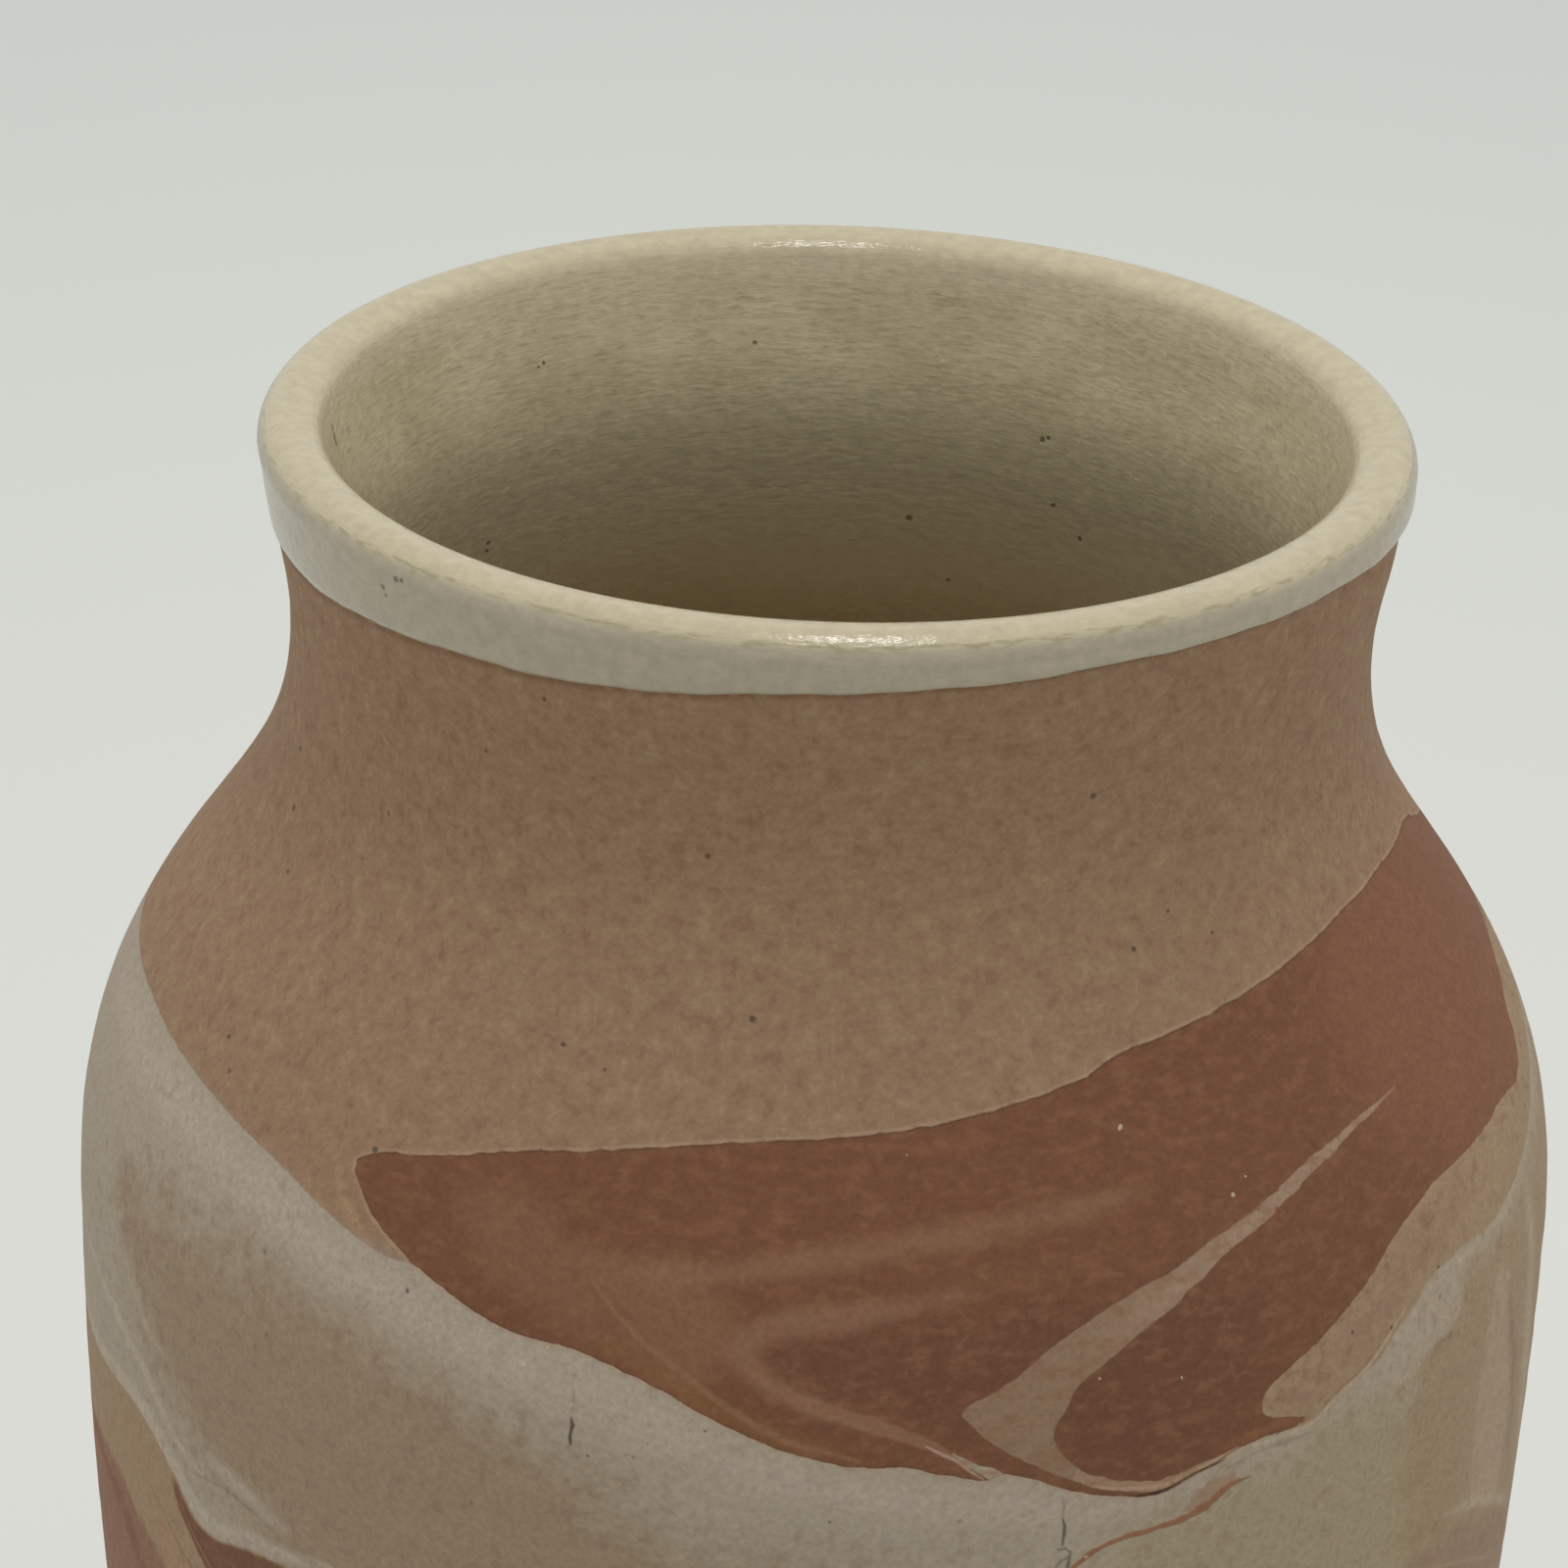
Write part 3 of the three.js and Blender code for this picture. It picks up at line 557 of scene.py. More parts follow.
    "rustTip": {"colour": "#855639", "soft": 0.8, "amount": 0.7, "within": "terracotta", "streak": [
        [31, 54.9], [34, 54.4], [37, 54.5], [40, 54.8]], "width": 0.3},
    "vein": {"colour": "#897059", "soft": 0.14, "area": [
        [46.4, 38.5], [44, 38.6], [42, 38.85], [40, 39.3], [38, 39.8], [34, 40.7], [32, 41.1],
        [30, 41.75], [28, 42.4], [26, 42.7], [24, 43.3], [22, 43.9], [20, 44.7], [17.5, 45.8],
        [15.8, 46.9], [14.3, 47.7], [13.2, 48.2], [12, 48.6], [11.1, 49.2], [11.8, 50], [12.5, 50.7],
        [13.2, 51.3], [14.3, 52], [15.4, 52.7], [16.8, 53.4], [17.9, 54], [19, 54.6], [20.4, 55.2],
        [21, 55], [20.4, 54.4], [19.7, 53.8], [18.6, 52.9], [17.9, 51.5], [18.2, 50.5], [19, 49.5],
        [19.5, 48.6], [20.5, 47.8], [22, 47.1], [24, 46], [26.5, 44.95], [28, 44.4], [29, 43.8],
        [30.5, 43.2], [32, 42.5], [34, 41.8], [36, 41.3], [38, 40.8], [40, 40.15], [42, 39.6], [44, 39.1]]},
    "veinPale": {"colour": "#9a806a", "soft": 2, "amount": 0.7, "within": "vein", "streak": [
        [22, 45.6], [28, 43.4], [34, 41.2], [40, 39.6], [46, 38.6], [52, 37.6]], "width": 1.2},
    "veinTip": {"colour": "#957b66", "halves": [0.42, 0.27, 0.02], "amount": 1, "thread": [
        [38.6, 40.2], [40, 39.75], [42, 39.25], [43.4, 38.95], [46, 38.5], [48, 38.15], [50, 37.85],
        [52, 37.7], [54, 37.5], [56, 37.35]]},
    "veinHem": {"colour": "#977a63", "halves": [0.36, 0.36, 0.06], "amount": 1, "thread": [
        [19.4, 54.3], [20.6, 54.9], [22, 55.4], [23.6, 55.85], [25.2, 56.15], [26.6, 56.25], [27.7, 56.05],
        [29, 55.8], [31, 55.4], [32.8, 54.95]]},
    "veinCream": {"colour": "#b5957b", "halves": [0.04, 0.14, 0.04], "amount": 0.5, "thread": [
        [20, 55], [22, 55.7], [24, 56.1], [26, 56.3], [27.6, 56.1], [29, 55.8], [31, 55.4], [32.4, 55.1]]},
    "hemShade": {"colour": "#2f1f17", "halves": [0.04, 0.13, 0.03], "amount": 0.9, "thread": [
        [23.6, 56.6], [25.1, 56.8], [26.5, 56.8], [27.5, 56.55], [28.3, 56.3], [29.1, 56.05],
        [30.6, 55.8], [31.6, 55.6]]},
    "sliverFill": {"colour": "#957761", "soft": 0.4, "amount": 0.8, "area": [
        [28, 58.7], [28.6, 58.1], [29.3, 57.5], [30.2, 57], [31.4, 56.7], [32.6, 56.6], [33, 57],
        [32.4, 57.5], [31.4, 58], [30.3, 58.8], [29, 59]]},
    "sliver": {"colour": "#866046", "halves": [0.16, 0.2, 0.3], "amount": 0.95, "thread": [
        [19, 62.2], [19.7, 61.4], [20.4, 60.9], [21, 60.5], [21.6, 60.25], [22.6, 59.95], [23.8, 59.7],
        [25.3, 59.65], [26.5, 59.5], [27.7, 59.4], [28.9, 59.15], [29.7, 58.9], [30.3, 58.6]]},
    "sliverEnd": {"colour": "#866046", "halves": [0.32, 0.24, 0.02], "amount": 0.95, "thread": [
        [29.9, 58.8], [30.5, 58.5], [31.3, 58], [32.1, 57.65], [32.9, 57.55], [34, 57.5]]},
    "sliverRust": {"colour": "#966242", "halves": [0.04, 0.09, 0.03], "amount": 0.7, "thread": [
        [19.4, 61.5], [20.9, 60.4], [22.6, 59.8], [25.3, 59.5], [27.7, 59.2], [29.7, 58.7],
        [31.3, 57.8], [33, 57.4]]},
    "slit": {"colour": "#42372a", "halves": [0.03, 0.1, 0.03], "amount": 0.85, "thread": [
        [-16.7, 51], [-16.5, 51.5], [-16.8, 52], [-16.55, 52.5], [-16.6, 53]]},
    "slitTail": {"colour": "#625647", "halves": [0.04, 0.05, 0.03], "amount": 0.3, "thread": [
        [-16.6, 48], [-16.8, 49], [-16.5, 49.8], [-16.7, 50.6]]},
    "crack": {"colour": "#453b2e", "halves": [0.04, 0.1, 0.05], "amount": 0.75, "thread": [
        [18.7, 57.4], [18.9, 58.1], [18.85, 59], [18.8, 59.6]]},
    "crackTop": {"colour": "#5e5142", "halves": [0.04, 0.1, 0.03], "soft": 0.25, "amount": 0.4, "thread": [
        [18.6, 55.8], [18.8, 56.4], [18.7, 57], [18.8, 57.6]]},
    "crackLoop": {"colour": "#453b2e", "halves": [0.05, 0.1, 0.08], "soft": 0.2, "amount": 0.65, "thread": [
        [18.5, 59.8], [19.1, 59.8], [19.5, 60.2], [19.4, 60.8], [19.2, 61.6], [19.2, 62.4]]},
    "crackEnd": {"colour": "#504437", "halves": [0.04, 0.09, 0.05], "soft": 0.2, "amount": 0.55, "thread": [
        [18.1, 61.8], [18.5, 61], [19, 60.6], [19.4, 60.5]]},
}
# Grains of grog and dark pits that stand out, as [degrees, drop, radius]; the pits' darkness is painted shade
# in their hollows
grogGrains = [[26.4, 33.9, 0.17], [35, 39, 0.16], [36.6, 38.2, 0.09], [21.5, 48, 0.11], [28, 49, 0.1],
              [-20.7, 48.2, 0.24], [-19, 46.8, 0.12], [7.7, 34.1, 0.09], [20.7, 60.7, 0.12]]
darkPits = [[-6, 26.9, 0.24], [-18.8, 30.8, 0.2], [-23.1, 29.9, 0.16], [-30.8, 45.7, 0.17], [-7, 50.7, 0.1],
            [-11, 52, 0.09], [2, 56.6, 0.12], [-15.3, 53.5, 0.09], [43.8, 49.9, 0.14], [48.1, 51, 0.13],
            [54.5, 48.9, 0.13], [31.5, 24.2, 0.16], [41, 24.6, 0.14], [36, 22.4, 0.12]]

reach = 9  # distances to an edge are worked out this far from it
nearThread = 1.5  # the share along a thread is exact this far from it
threadSoft = 0.12  # how wide a thread's edge fades, where it has no "soft" of its own
flatRadius = 50  # the wall is unrolled at this radius to measure distances along it


def unrolled(points):
    points = np.asarray(points, float)
    return np.column_stack([np.radians(points[:, 0]) * flatRadius, points[:, 1]])


# The nearest distance from places to a line, on which side of it they are, and how far along it, as a share
def nearestOnLine(places, line):
    away, side, along = np.full(len(places), np.inf), np.zeros(len(places)), np.zeros(len(places))
    steps = np.diff(line, axis=0)
    lengths = np.hypot(*steps.T)
    runs = np.append(0, np.cumsum(lengths))
    for start, step, length, run in zip(line, steps, lengths, runs):
        offset = places - start
        share = offset @ step / length ** 2
        distance = np.hypot(*(offset - np.clip(share, 0, 1)[:, None] * step).T)
        closer = distance < away
        away[closer] = distance[closer]
        side[closer] = ((offset[:, 0] * step[1] - offset[:, 1] * step[0]) / length)[closer]
        along[closer] = ((run + share * length) / runs[-1])[closer]
    return away, side, along


def isInside(places, outline):
    inside = np.zeros(len(places), bool)
    for (x0, y0), (x1, y1) in zip(outline, np.roll(outline, -1, axis=0)):
        crosses = (y0 > places[:, 1]) != (y1 > places[:, 1])
        meets = x0 + (places[:, 1] - y0) * (x1 - x0) / (y1 - y0 if y1 != y0 else 1)
        inside ^= crosses & (places[:, 0] < meets)
    return inside


# The points of a mesh in millimetres, with their degrees from the front and their drop
def measured(mesh):
    corners = np.empty(len(mesh.vertices) * 3)
    mesh.vertices.foreach_get("co", corners)
    x, y, z = corners.reshape(-1, 3).T / metre
    return np.hypot(x, y), np.degrees(np.arctan2(x, -y)), vaseHeight - z


# How far down the glaze comes on the outside
def glazeEdgeAt(angle):
    points = np.array(glazeEdge, float)
    around = smoothLine(np.vstack([points[-2] - [360, 0], points, points[1] + [360, 0]]), False)
    edge = np.interp(angle, around[:, 0], around[:, 1])
    for waves, depth, start in glazeRipples:
        edge += depth * np.sin(np.radians(angle * waves + start))
    return edge


def addAttribute(mesh, name, values):
    mesh.attributes.new(name, "FLOAT", "POINT").data.foreach_set("value", values)


# Writes each clay's distance inside its edge, in millimetres, on the points of the wall's mesh. A thread's
# is how far the point lies to one side of the line, with a second attribute for the share along it.
def drawMarbling(mesh):
    radius, angle, drop = measured(mesh)
    onOutside = radius > outsideRadius(drop) - 1.5
    places = unrolled(np.column_stack([angle, np.where(onOutside, drop, -99)]))
    turn = math.tau * flatRadius
    for name, clay in marbling.items():
        closed = "area" in clay
        points = next(clay[kind] for kind in ("area", "streak", "thread") if kind in clay)
        line = unrolled(smoothLine(points, closed))
        if closed:
            line = np.vstack([line, line[:1]])
        if "thread" in clay:
            away, side, along = nearestOnLine(places, line)
            along = np.where(away < nearThread, np.clip(along, -1, 2), np.where(along > 0.5, 2, -1))
            addAttribute(mesh, name, np.clip(side, -reach, reach))
            addAttribute(mesh, name + "Along", along)
            continue
        depth = np.full(len(places), -float(reach))
        for shift in (-turn, 0, turn):
            moved = line + [shift, 0]
            low, high = moved.min(axis=0) - reach, moved.max(axis=0) + reach
            near = np.flatnonzero(((places > low) & (places < high)).all(axis=1))
            if not len(near):
                continue
            away, side, along = nearestOnLine(places[near], moved)
            if closed:
                found = np.where(isInside(places[near], moved[:-1]), away, -away)
            else:
                found = clay["width"] * np.sin(np.pi * np.clip(along, 0, 1)) ** 0.5 - away
            depth[near] = np.maximum(depth[near], np.clip(found, -reach, reach))
        addAttribute(mesh, name, depth)
    addAttribute(mesh, "belowGlaze", np.where(onOutside, drop - glazeEdgeAt(angle), -9))
    print("marbling drawn, with", len(marbling), "clays")


# Where a point lies at some degrees and drop on the outside or the inside, in metres
def onOutsideAt(angle, drop):
    return onCircle(outsideRadius(drop), angle, drop)


def onInsideAt(angle, drop):
    up = insideLine(glazeCoat["row"])
    return onCircle(np.interp(vaseHeight - drop, up[:, 1], up[:, 0]), angle, drop)


def onCircle(radius, angle, drop):
    turn = math.radians(angle)
    return (radius * math.sin(turn) * metre, -radius * math.cos(turn) * metre, (vaseHeight - drop) * metre)


# Stoneware of several clays wedged together, thrown and fired without a glaze: matt and grainy, with soft
# blotches, small pits and a few pale grains of grog
clayLook = {
    "buff": "#8f7258", "blotch": "#74523b", "paleBlotch": "#a18a68", "streak": "#855c42",
    # The pale line along the terracotta's edge is a painted highlight, and the dark one is painted shade
    "paintedRidgeHighlight": "#a58a70", "paintedGrooveShade": "#4a2f22", "haloAndShade": "#6f4f35", "pitShade": "#3f3328", "grog": "#bfae98",
    "blotchSize": 1.2, "grainSize": 0.45, "streakSize": 0.8, "pitSpacing": 3.6,
    "waver": 1.2, "broadWaver": 4.5,  # sizes of the bumps in the clays' edges
    "crispSwing": 0.3, "threadSwing": 1.6,  # how far the fine bumps move a crisp edge, and widen a thread
    "hazeSwing": 1.2, "hazeFineSwing": 0.8,  # how far the bumps move a soft edge, as shares of its "soft"
    "hazeFrom": 0.5,  # an edge this soft or softer is a haze
    # The warm dark band under the glaze's edge is partly an iron halo and partly painted shade
    "blotchAmount": 0.38, "grainAmount": 0.3, "streakAmount": 0.55, "haloShadeAmount": 0.45,
    # The pits' colour is painted shade in their hollows, and the rough patch's specks are painted shadows of
    # its bumps
    "pitAmount": 0.7, "speckShadeAmount": 0.4, "grogAmount": 0.75,
    "roughness": 0.85, "specular": 0.3, "grainDepth": 0.06,
    "roughPatch": [38, 24, 9],  # a rougher place on the right of the shoulder: degrees, drop and radius
}


# How many times a pattern of this size in millimetres fits in a metre
def perMetre(size):
    return 1 / (size * metre)


def makeClay():
    material = bpy.data.materials.new("unglazed marbled stoneware")
    material.use_nodes = True
    tree = material.node_tree
    tree.nodes.clear()
    place = addNode(tree, "ShaderNodeTexCoord", {}, {}).outputs["Object"]
    flattened = addNode(tree, "ShaderNodeMapping", {}, {"Vector": place, "Scale": (0.5, 0.5, 1)})
    fineNoise = addNode(tree, "ShaderNodeTexNoise", {}, {
        "Vector": place, "Scale": perMetre(clayLook["waver"]), "Detail": 3})
    broadNoise = addNode(tree, "ShaderNodeTexNoise", {}, {
        "Vector": place, "Scale": perMetre(clayLook["broadWaver"]), "Detail": 5, "Roughness": 0.6})
    fineWaver = addNode(tree, "ShaderNodeMath", {"operation": "SUBTRACT"}, {0: fineNoise, 1: 0.5})
    broadWaver = addNode(tree, "ShaderNodeMath", {"operation": "SUBTRACT"}, {0: broadNoise, 1: 0.5})

    # Each clay is laid over the ones before it
    shade = colour(clayLook["buff"])
    masks, edges = {}, {}
    for name, clay in marbling.items():
        edge = addNode(tree, "ShaderNodeAttribute", {"attribute_name": name}, {}).outputs["Fac"]
        amount = clay.get("amount", 1.0)
        if "thread" in clay:
            along = addNode(tree, "ShaderNodeAttribute", {"attribute_name": name + "Along"}, {})
            along = along.outputs["Fac"]
            # Half the width follows a parabola through its start, middle and end
            start, middle, end = clay["halves"]
            half = addNode(tree, "ShaderNodeMath", {"operation": "MULTIPLY_ADD"}, {
                0: along, 1: 2 * start + 2 * end - 4 * middle, 2: 4 * middle - 3 * start - end})
            half = addNode(tree, "ShaderNodeMath", {"operation": "MULTIPLY_ADD"}, {
                0: along, 1: half, 2: start})
            uneven = addNode(tree, "ShaderNodeMath", {"operation": "MULTIPLY_ADD"}, {
                0: fineWaver, 1: clayLook["threadSwing"], 2: 1.0})
            half = addNode(tree, "ShaderNodeMath", {"operation": "MULTIPLY"}, {0: half, 1: uneven})
            across = addNode(tree, "ShaderNodeMath", {"operation": "ABSOLUTE"}, {0: edge})
            across = addNode(tree, "ShaderNodeMath", {"operation": "SUBTRACT"}, {0: half, 1: across})
            soft = clay.get("soft", threadSoft)
            mask = addNode(tree, "ShaderNodeMapRange", smooth, {
                "Value": across, "From Min": -soft / 2, "From Max": soft / 2, "To Max": amount})
            onThread = addNode(tree, "ShaderNodeMath", {"operation": "COMPARE"}, {0: along, 1: 0.5, 2: 0.495})
            mask = addNode(tree, "ShaderNodeMath", {"operation": "MULTIPLY"}, {0: mask, 1: onThread})
        else:
            soft = clay["soft"]
            isHaze = soft >= clayLook["hazeFrom"]
            waver = broadWaver if isHaze else fineWaver
            swing = clayLook["hazeSwing"] * soft if isHaze else clayLook["crispSwing"]
            edge = addNode(tree, "ShaderNodeMath", {"operation": "MULTIPLY_ADD"}, {
                0: waver, 1: swing, 2: edge})
            if isHaze:
                edge = addNode(tree, "ShaderNodeMath", {"operation": "MULTIPLY_ADD"}, {
                    0: fineWaver, 1: clayLook["hazeFineSwing"] * soft, 2: edge})
            mask = addNode(tree, "ShaderNodeMapRange", smooth, {
                "Value": edge, "From Min": -soft / 2, "From Max": soft / 2, "To Max": amount})
        if "within" in clay:
            mask = addNode(tree, "ShaderNodeMath", {"operation": "MULTIPLY"}, {
                0: mask, 1: masks[clay["within"]]})
        masks[name], edges[name] = mask, edge
        shade = addNode(tree, "ShaderNodeMix", mixColours, {
            0: mask, 6: shade, 7: colour(clay["colour"])}).outputs[2]

    # A thin pale line, a painted highlight on a slight ridge, runs outside the terracotta's edge, and a
    # darker one, painted shade in the groove beside it, runs inside it, save where it meets the tan tongue.
    # Each has its way out from the edge, half its width, and its amount.
    plain = addNode(tree, "ShaderNodeMath", {"operation": "MULTIPLY_ADD"}, {
        0: masks["tongue"], 1: -0.85, 2: 1.0})
    for offset, width, amount, tint in ((0.14, 0.15, 0.45, "paintedRidgeHighlight"), (-0.05, 0.09, 0.35, "paintedGrooveShade")):
        away = addNode(tree, "ShaderNodeMath", {"operation": "ADD"}, {0: edges["terracotta"], 1: offset})
        away = addNode(tree, "ShaderNodeMath", {"operation": "ABSOLUTE"}, {0: away})
        line = addNode(tree, "ShaderNodeMapRange", smooth, {
            "Value": away, "From Min": width, "From Max": width / 4, "To Max": amount})
        line = addNode(tree, "ShaderNodeMath", {"operation": "MULTIPLY"}, {0: line, 1: plain})
        shade = addNode(tree, "ShaderNodeMix", mixColours, {
            0: line, 6: shade, 7: colour(clayLook[tint])}).outputs[2]

    # Just under the edge of the glaze the clay turns warmer and darker: partly the iron halo where the glaze
    # ends, partly painted shade under the coat's raised edge
    below = addNode(tree, "ShaderNodeAttribute", {"attribute_name": "belowGlaze"}, {}).outputs["Fac"]
    below = addNode(tree, "ShaderNodeMath", {"operation": "MULTIPLY_ADD"}, {0: fineWaver, 1: 0.5, 2: below})
    haloShadeShare = addNode(tree, "ShaderNodeMapRange", smooth, {
        "Value": below, "From Min": 0.55, "From Max": 0.1, "To Max": clayLook["haloShadeAmount"]})
    shade = addNode(tree, "ShaderNodeMix", mixColours, {
        0: haloShadeShare, 6: shade, 7: colour(clayLook["haloAndShade"])}).outputs[2]

    # The buff clay is the coarsest and the terracotta the finest
    fine = addNode(tree, "ShaderNodeMath", {"operation": "MAXIMUM"}, {
        0: masks["terracotta"], 1: masks["terracottaLow"]})
    coarse = addNode(tree, "ShaderNodeMath", {"operation": "MULTIPLY_ADD"}, {0: fine, 1: -0.85, 2: 1.0})
    greyer = addNode(tree, "ShaderNodeMath", {"operation": "MULTIPLY_ADD"}, {
        0: masks["greyClay"], 1: -0.45, 2: 1.0})
    coarse = addNode(tree, "ShaderNodeMath", {"operation": "MINIMUM"}, {0: coarse, 1: greyer})
    blotches = addNode(tree, "ShaderNodeTexNoise", {}, {
        "Vector": place, "Scale": perMetre(clayLook["blotchSize"]), "Detail": 4, "Roughness": 0.62})
    grain = addNode(tree, "ShaderNodeTexNoise", {}, {
        "Vector": place, "Scale": perMetre(clayLook["grainSize"]), "Detail": 3, "Roughness": 0.65})
    for low, high, tint in ((0.5, 0.7, "blotch"), (0.49, 0.3, "paleBlotch")):
        patch = addNode(tree, "ShaderNodeMapRange", smooth, {
            "Value": blotches, "From Min": low, "From Max": high, "To Max": clayLook["blotchAmount"]})
        patch = addNode(tree, "ShaderNodeMath", {"operation": "MULTIPLY"}, {0: patch, 1: coarse})
        shade = addNode(tree, "ShaderNodeMix", mixColours, {
            0: patch, 6: shade, 7: colour(clayLook[tint])}).outputs[2]
    streaks = addNode(tree, "ShaderNodeTexNoise", {}, {
        "Vector": flattened, "Scale": perMetre(clayLook["streakSize"]), "Detail": 4, "Roughness": 0.6})
    streaks = addNode(tree, "ShaderNodeMapRange", smooth, {
        "Value": streaks, "From Min": 0.45, "From Max": 0.7, "To Max": clayLook["streakAmount"]})
    streaks = addNode(tree, "ShaderNodeMath", {"operation": "MULTIPLY"}, {0: streaks, 1: fine})
    shade = addNode(tree, "ShaderNodeMix", mixColours, {
        0: streaks, 6: shade, 7: colour(clayLook["streak"])}).outputs[2]
    shade = addNode(tree, "ShaderNodeMix", {"data_type": "RGBA", "blend_type": "OVERLAY"}, {
        0: clayLook["grainAmount"], 6: shade, 7: grain}).outputs[2]

    # Pits and grog: random ones from cells, and the few that stand out at their own places. The pits' dark
    # colour is painted shade in their hollows.
    cells = addNode(tree, "ShaderNodeTexVoronoi", {}, {
        "Vector": place, "Scale": perMetre(clayLook["pitSpacing"])})
    chosen = addNode(tree, "ShaderNodeSeparateColor", {}, {0: cells.outputs["Color"]})
    ragged = addNode(tree, "ShaderNodeMath", {"operation": "MULTIPLY_ADD"}, {
        0: fineWaver, 1: 0.12, 2: cells.outputs["Distance"]})
    pits = addNode(tree, "ShaderNodeMapRange", smooth, {"Value": ragged, "From Min": 0.08, "From Max": 0.03})
    few = addNode(tree, "ShaderNodeMath", {"operation": "GREATER_THAN"}, {0: chosen, 1: 0.7})
    pits = addNode(tree, "ShaderNodeMath", {"operation": "MULTIPLY"}, {0: pits, 1: few})
    pits = addNode(tree, "ShaderNodeMath", {"operation": "MULTIPLY"}, {0: pits, 1: coarse})
    grog = addNode(tree, "ShaderNodeMapRange", smooth, {"Value": ragged, "From Min": 0.05, "From Max": 0.02})
    few = addNode(tree, "ShaderNodeMath", {"operation": "COMPARE"}, {0: chosen, 1: 0.31, 2: 0.008})
    grog = addNode(tree, "ShaderNodeMath", {"operation": "MULTIPLY"}, {0: grog, 1: few})
    dotNoise = addNode(tree, "ShaderNodeTexNoise", {}, {
        "Vector": place, "Scale": perMetre(0.35), "Detail": 2})
    for dots in (darkPits, grogGrains):
        for angle, drop, radius in dots:
            away = addNode(tree, "ShaderNodeVectorMath", {"operation": "DISTANCE"}, {
                0: place, 1: onOutsideAt(angle, drop)}).outputs["Value"]
            # The noise swings about 0.5, so the dot keeps its size while its outline goes ragged
            away = addNode(tree, "ShaderNodeMath", {"operation": "MULTIPLY_ADD"}, {
                0: dotNoise, 1: 2.4 * radius * metre, 2: away})
            dot = addNode(tree, "ShaderNodeMapRange", smooth, {
                "Value": away, "From Min": 2.5 * radius * metre, "From Max": 1.7 * radius * metre})
            if dots is darkPits:
                pits = addNode(tree, "ShaderNodeMath", {"operation": "MAXIMUM"}, {0: pits, 1: dot})
            else:
                grog = addNode(tree, "ShaderNodeMath", {"operation": "MAXIMUM"}, {0: grog, 1: dot})
    angle, drop, radius = clayLook["roughPatch"]
    away = addNode(tree, "ShaderNodeVectorMath", {"operation": "DISTANCE"}, {
        0: place, 1: onOutsideAt(angle, drop)}).outputs["Value"]
    rough = addNode(tree, "ShaderNodeMapRange", smooth, {
        "Value": away, "From Min": radius * metre, "From Max": radius / 3 * metre})
    # In the rough patch, fine dark specks are painted shadows of its small bumps, mixed in with the pits'
    # painted shade
    specks = addNode(tree, "ShaderNodeMapRange", smooth, {"Value": grain, "From Min": 0.55, "From Max": 0.68})
    specks = addNode(tree, "ShaderNodeMath", {"operation": "MULTIPLY"}, {0: specks, 1: rough})
    specks = addNode(tree, "ShaderNodeMath", {"operation": "MULTIPLY"}, {0: specks, 1: coarse})
    pitShare = addNode(tree, "ShaderNodeMath", {"operation": "MULTIPLY_ADD"}, {
        0: specks, 1: clayLook["speckShadeAmount"], 2: pits})
    pitShare = addNode(tree, "ShaderNodeMath", {"operation": "MULTIPLY"}, {
        0: pitShare, 1: clayLook["pitAmount"]})
    shade = addNode(tree, "ShaderNodeMix", mixColours, {
        0: pitShare, 6: shade, 7: colour(clayLook["pitShade"])}).outputs[2]
    grogShare = addNode(tree, "ShaderNodeMath", {"operation": "MULTIPLY"}, {
        0: grog, 1: clayLook["grogAmount"]})
    shade = addNode(tree, "ShaderNodeMix", mixColours, {
        0: grogShare, 6: shade, 7: colour(clayLook["grog"])}).outputs[2]

    relief = addNode(tree, "ShaderNodeMath", {"operation": "ADD"}, {0: blotches, 1: grain})
    relief = addNode(tree, "ShaderNodeMath", {"operation": "MULTIPLY"}, {0: relief, 1: coarse})
    relief = addNode(tree, "ShaderNodeMath", {"operation": "SUBTRACT"}, {0: relief, 1: pitShare})
    for name in ("slit", "crack", "hemShade", "crackLoop"):
        relief = addNode(tree, "ShaderNodeMath", {"operation": "SUBTRACT"}, {0: relief, 1: masks[name]})
    bump = addNode(tree, "ShaderNodeBump", {}, {
        "Strength": 1.0, "Distance": clayLook["grainDepth"] * metre, "Height": relief})
    surface = addNode(tree, "ShaderNodeBsdfPrincipled", {}, {
        "Base Color": shade, "Roughness": clayLook["roughness"], "IOR": 1.5,
        "Specular IOR Level": clayLook["specular"], "Normal": bump})
    addNode(tree, "ShaderNodeOutputMaterial", {}, {"Surface": surface})
    return material


# Cream stoneware glaze, poured and wiped back at the lip: satin and a little dimpled, finely crackled with
# darker dashes inside, thin and greyer over the outer face, with an olive line where it thins
glazeLook = {
    "inside": "#bdb292", "deep": "#b3a786", "middle": "#a89d80", "low": "#d3c29e", "crest": "#beb294",
    "outer": "#a59b86", "change": "#857c56", "dash": "#877c5e", "iron": "#4c4030",
    # How far over the lip the shades change, below zero inside; the darker middle band is painted shade and
    # the lighter low colour is painted light
    "lowRange": (-22, -31), "middleRange": (-12, -20), "dashRange": (-24, -8), "crestRange": (-8, -4.2),
    "changeAt": 2.2,  # where the cream gives way to grey
    "dashAmount": 0.35, "changeAmount": 0.5, "blotchAmount": 0.25, "ironAmount": 0.7,
    "dimple": 1.2, "blotchSize": 1.1, "dashSize": 0.45, "dashLength": 1.6, "cloudSize": 9, "speckSpacing": 14,
    "roughness": 0.2, "specular": 0.5, "dimpleDepth": 0.07,
}
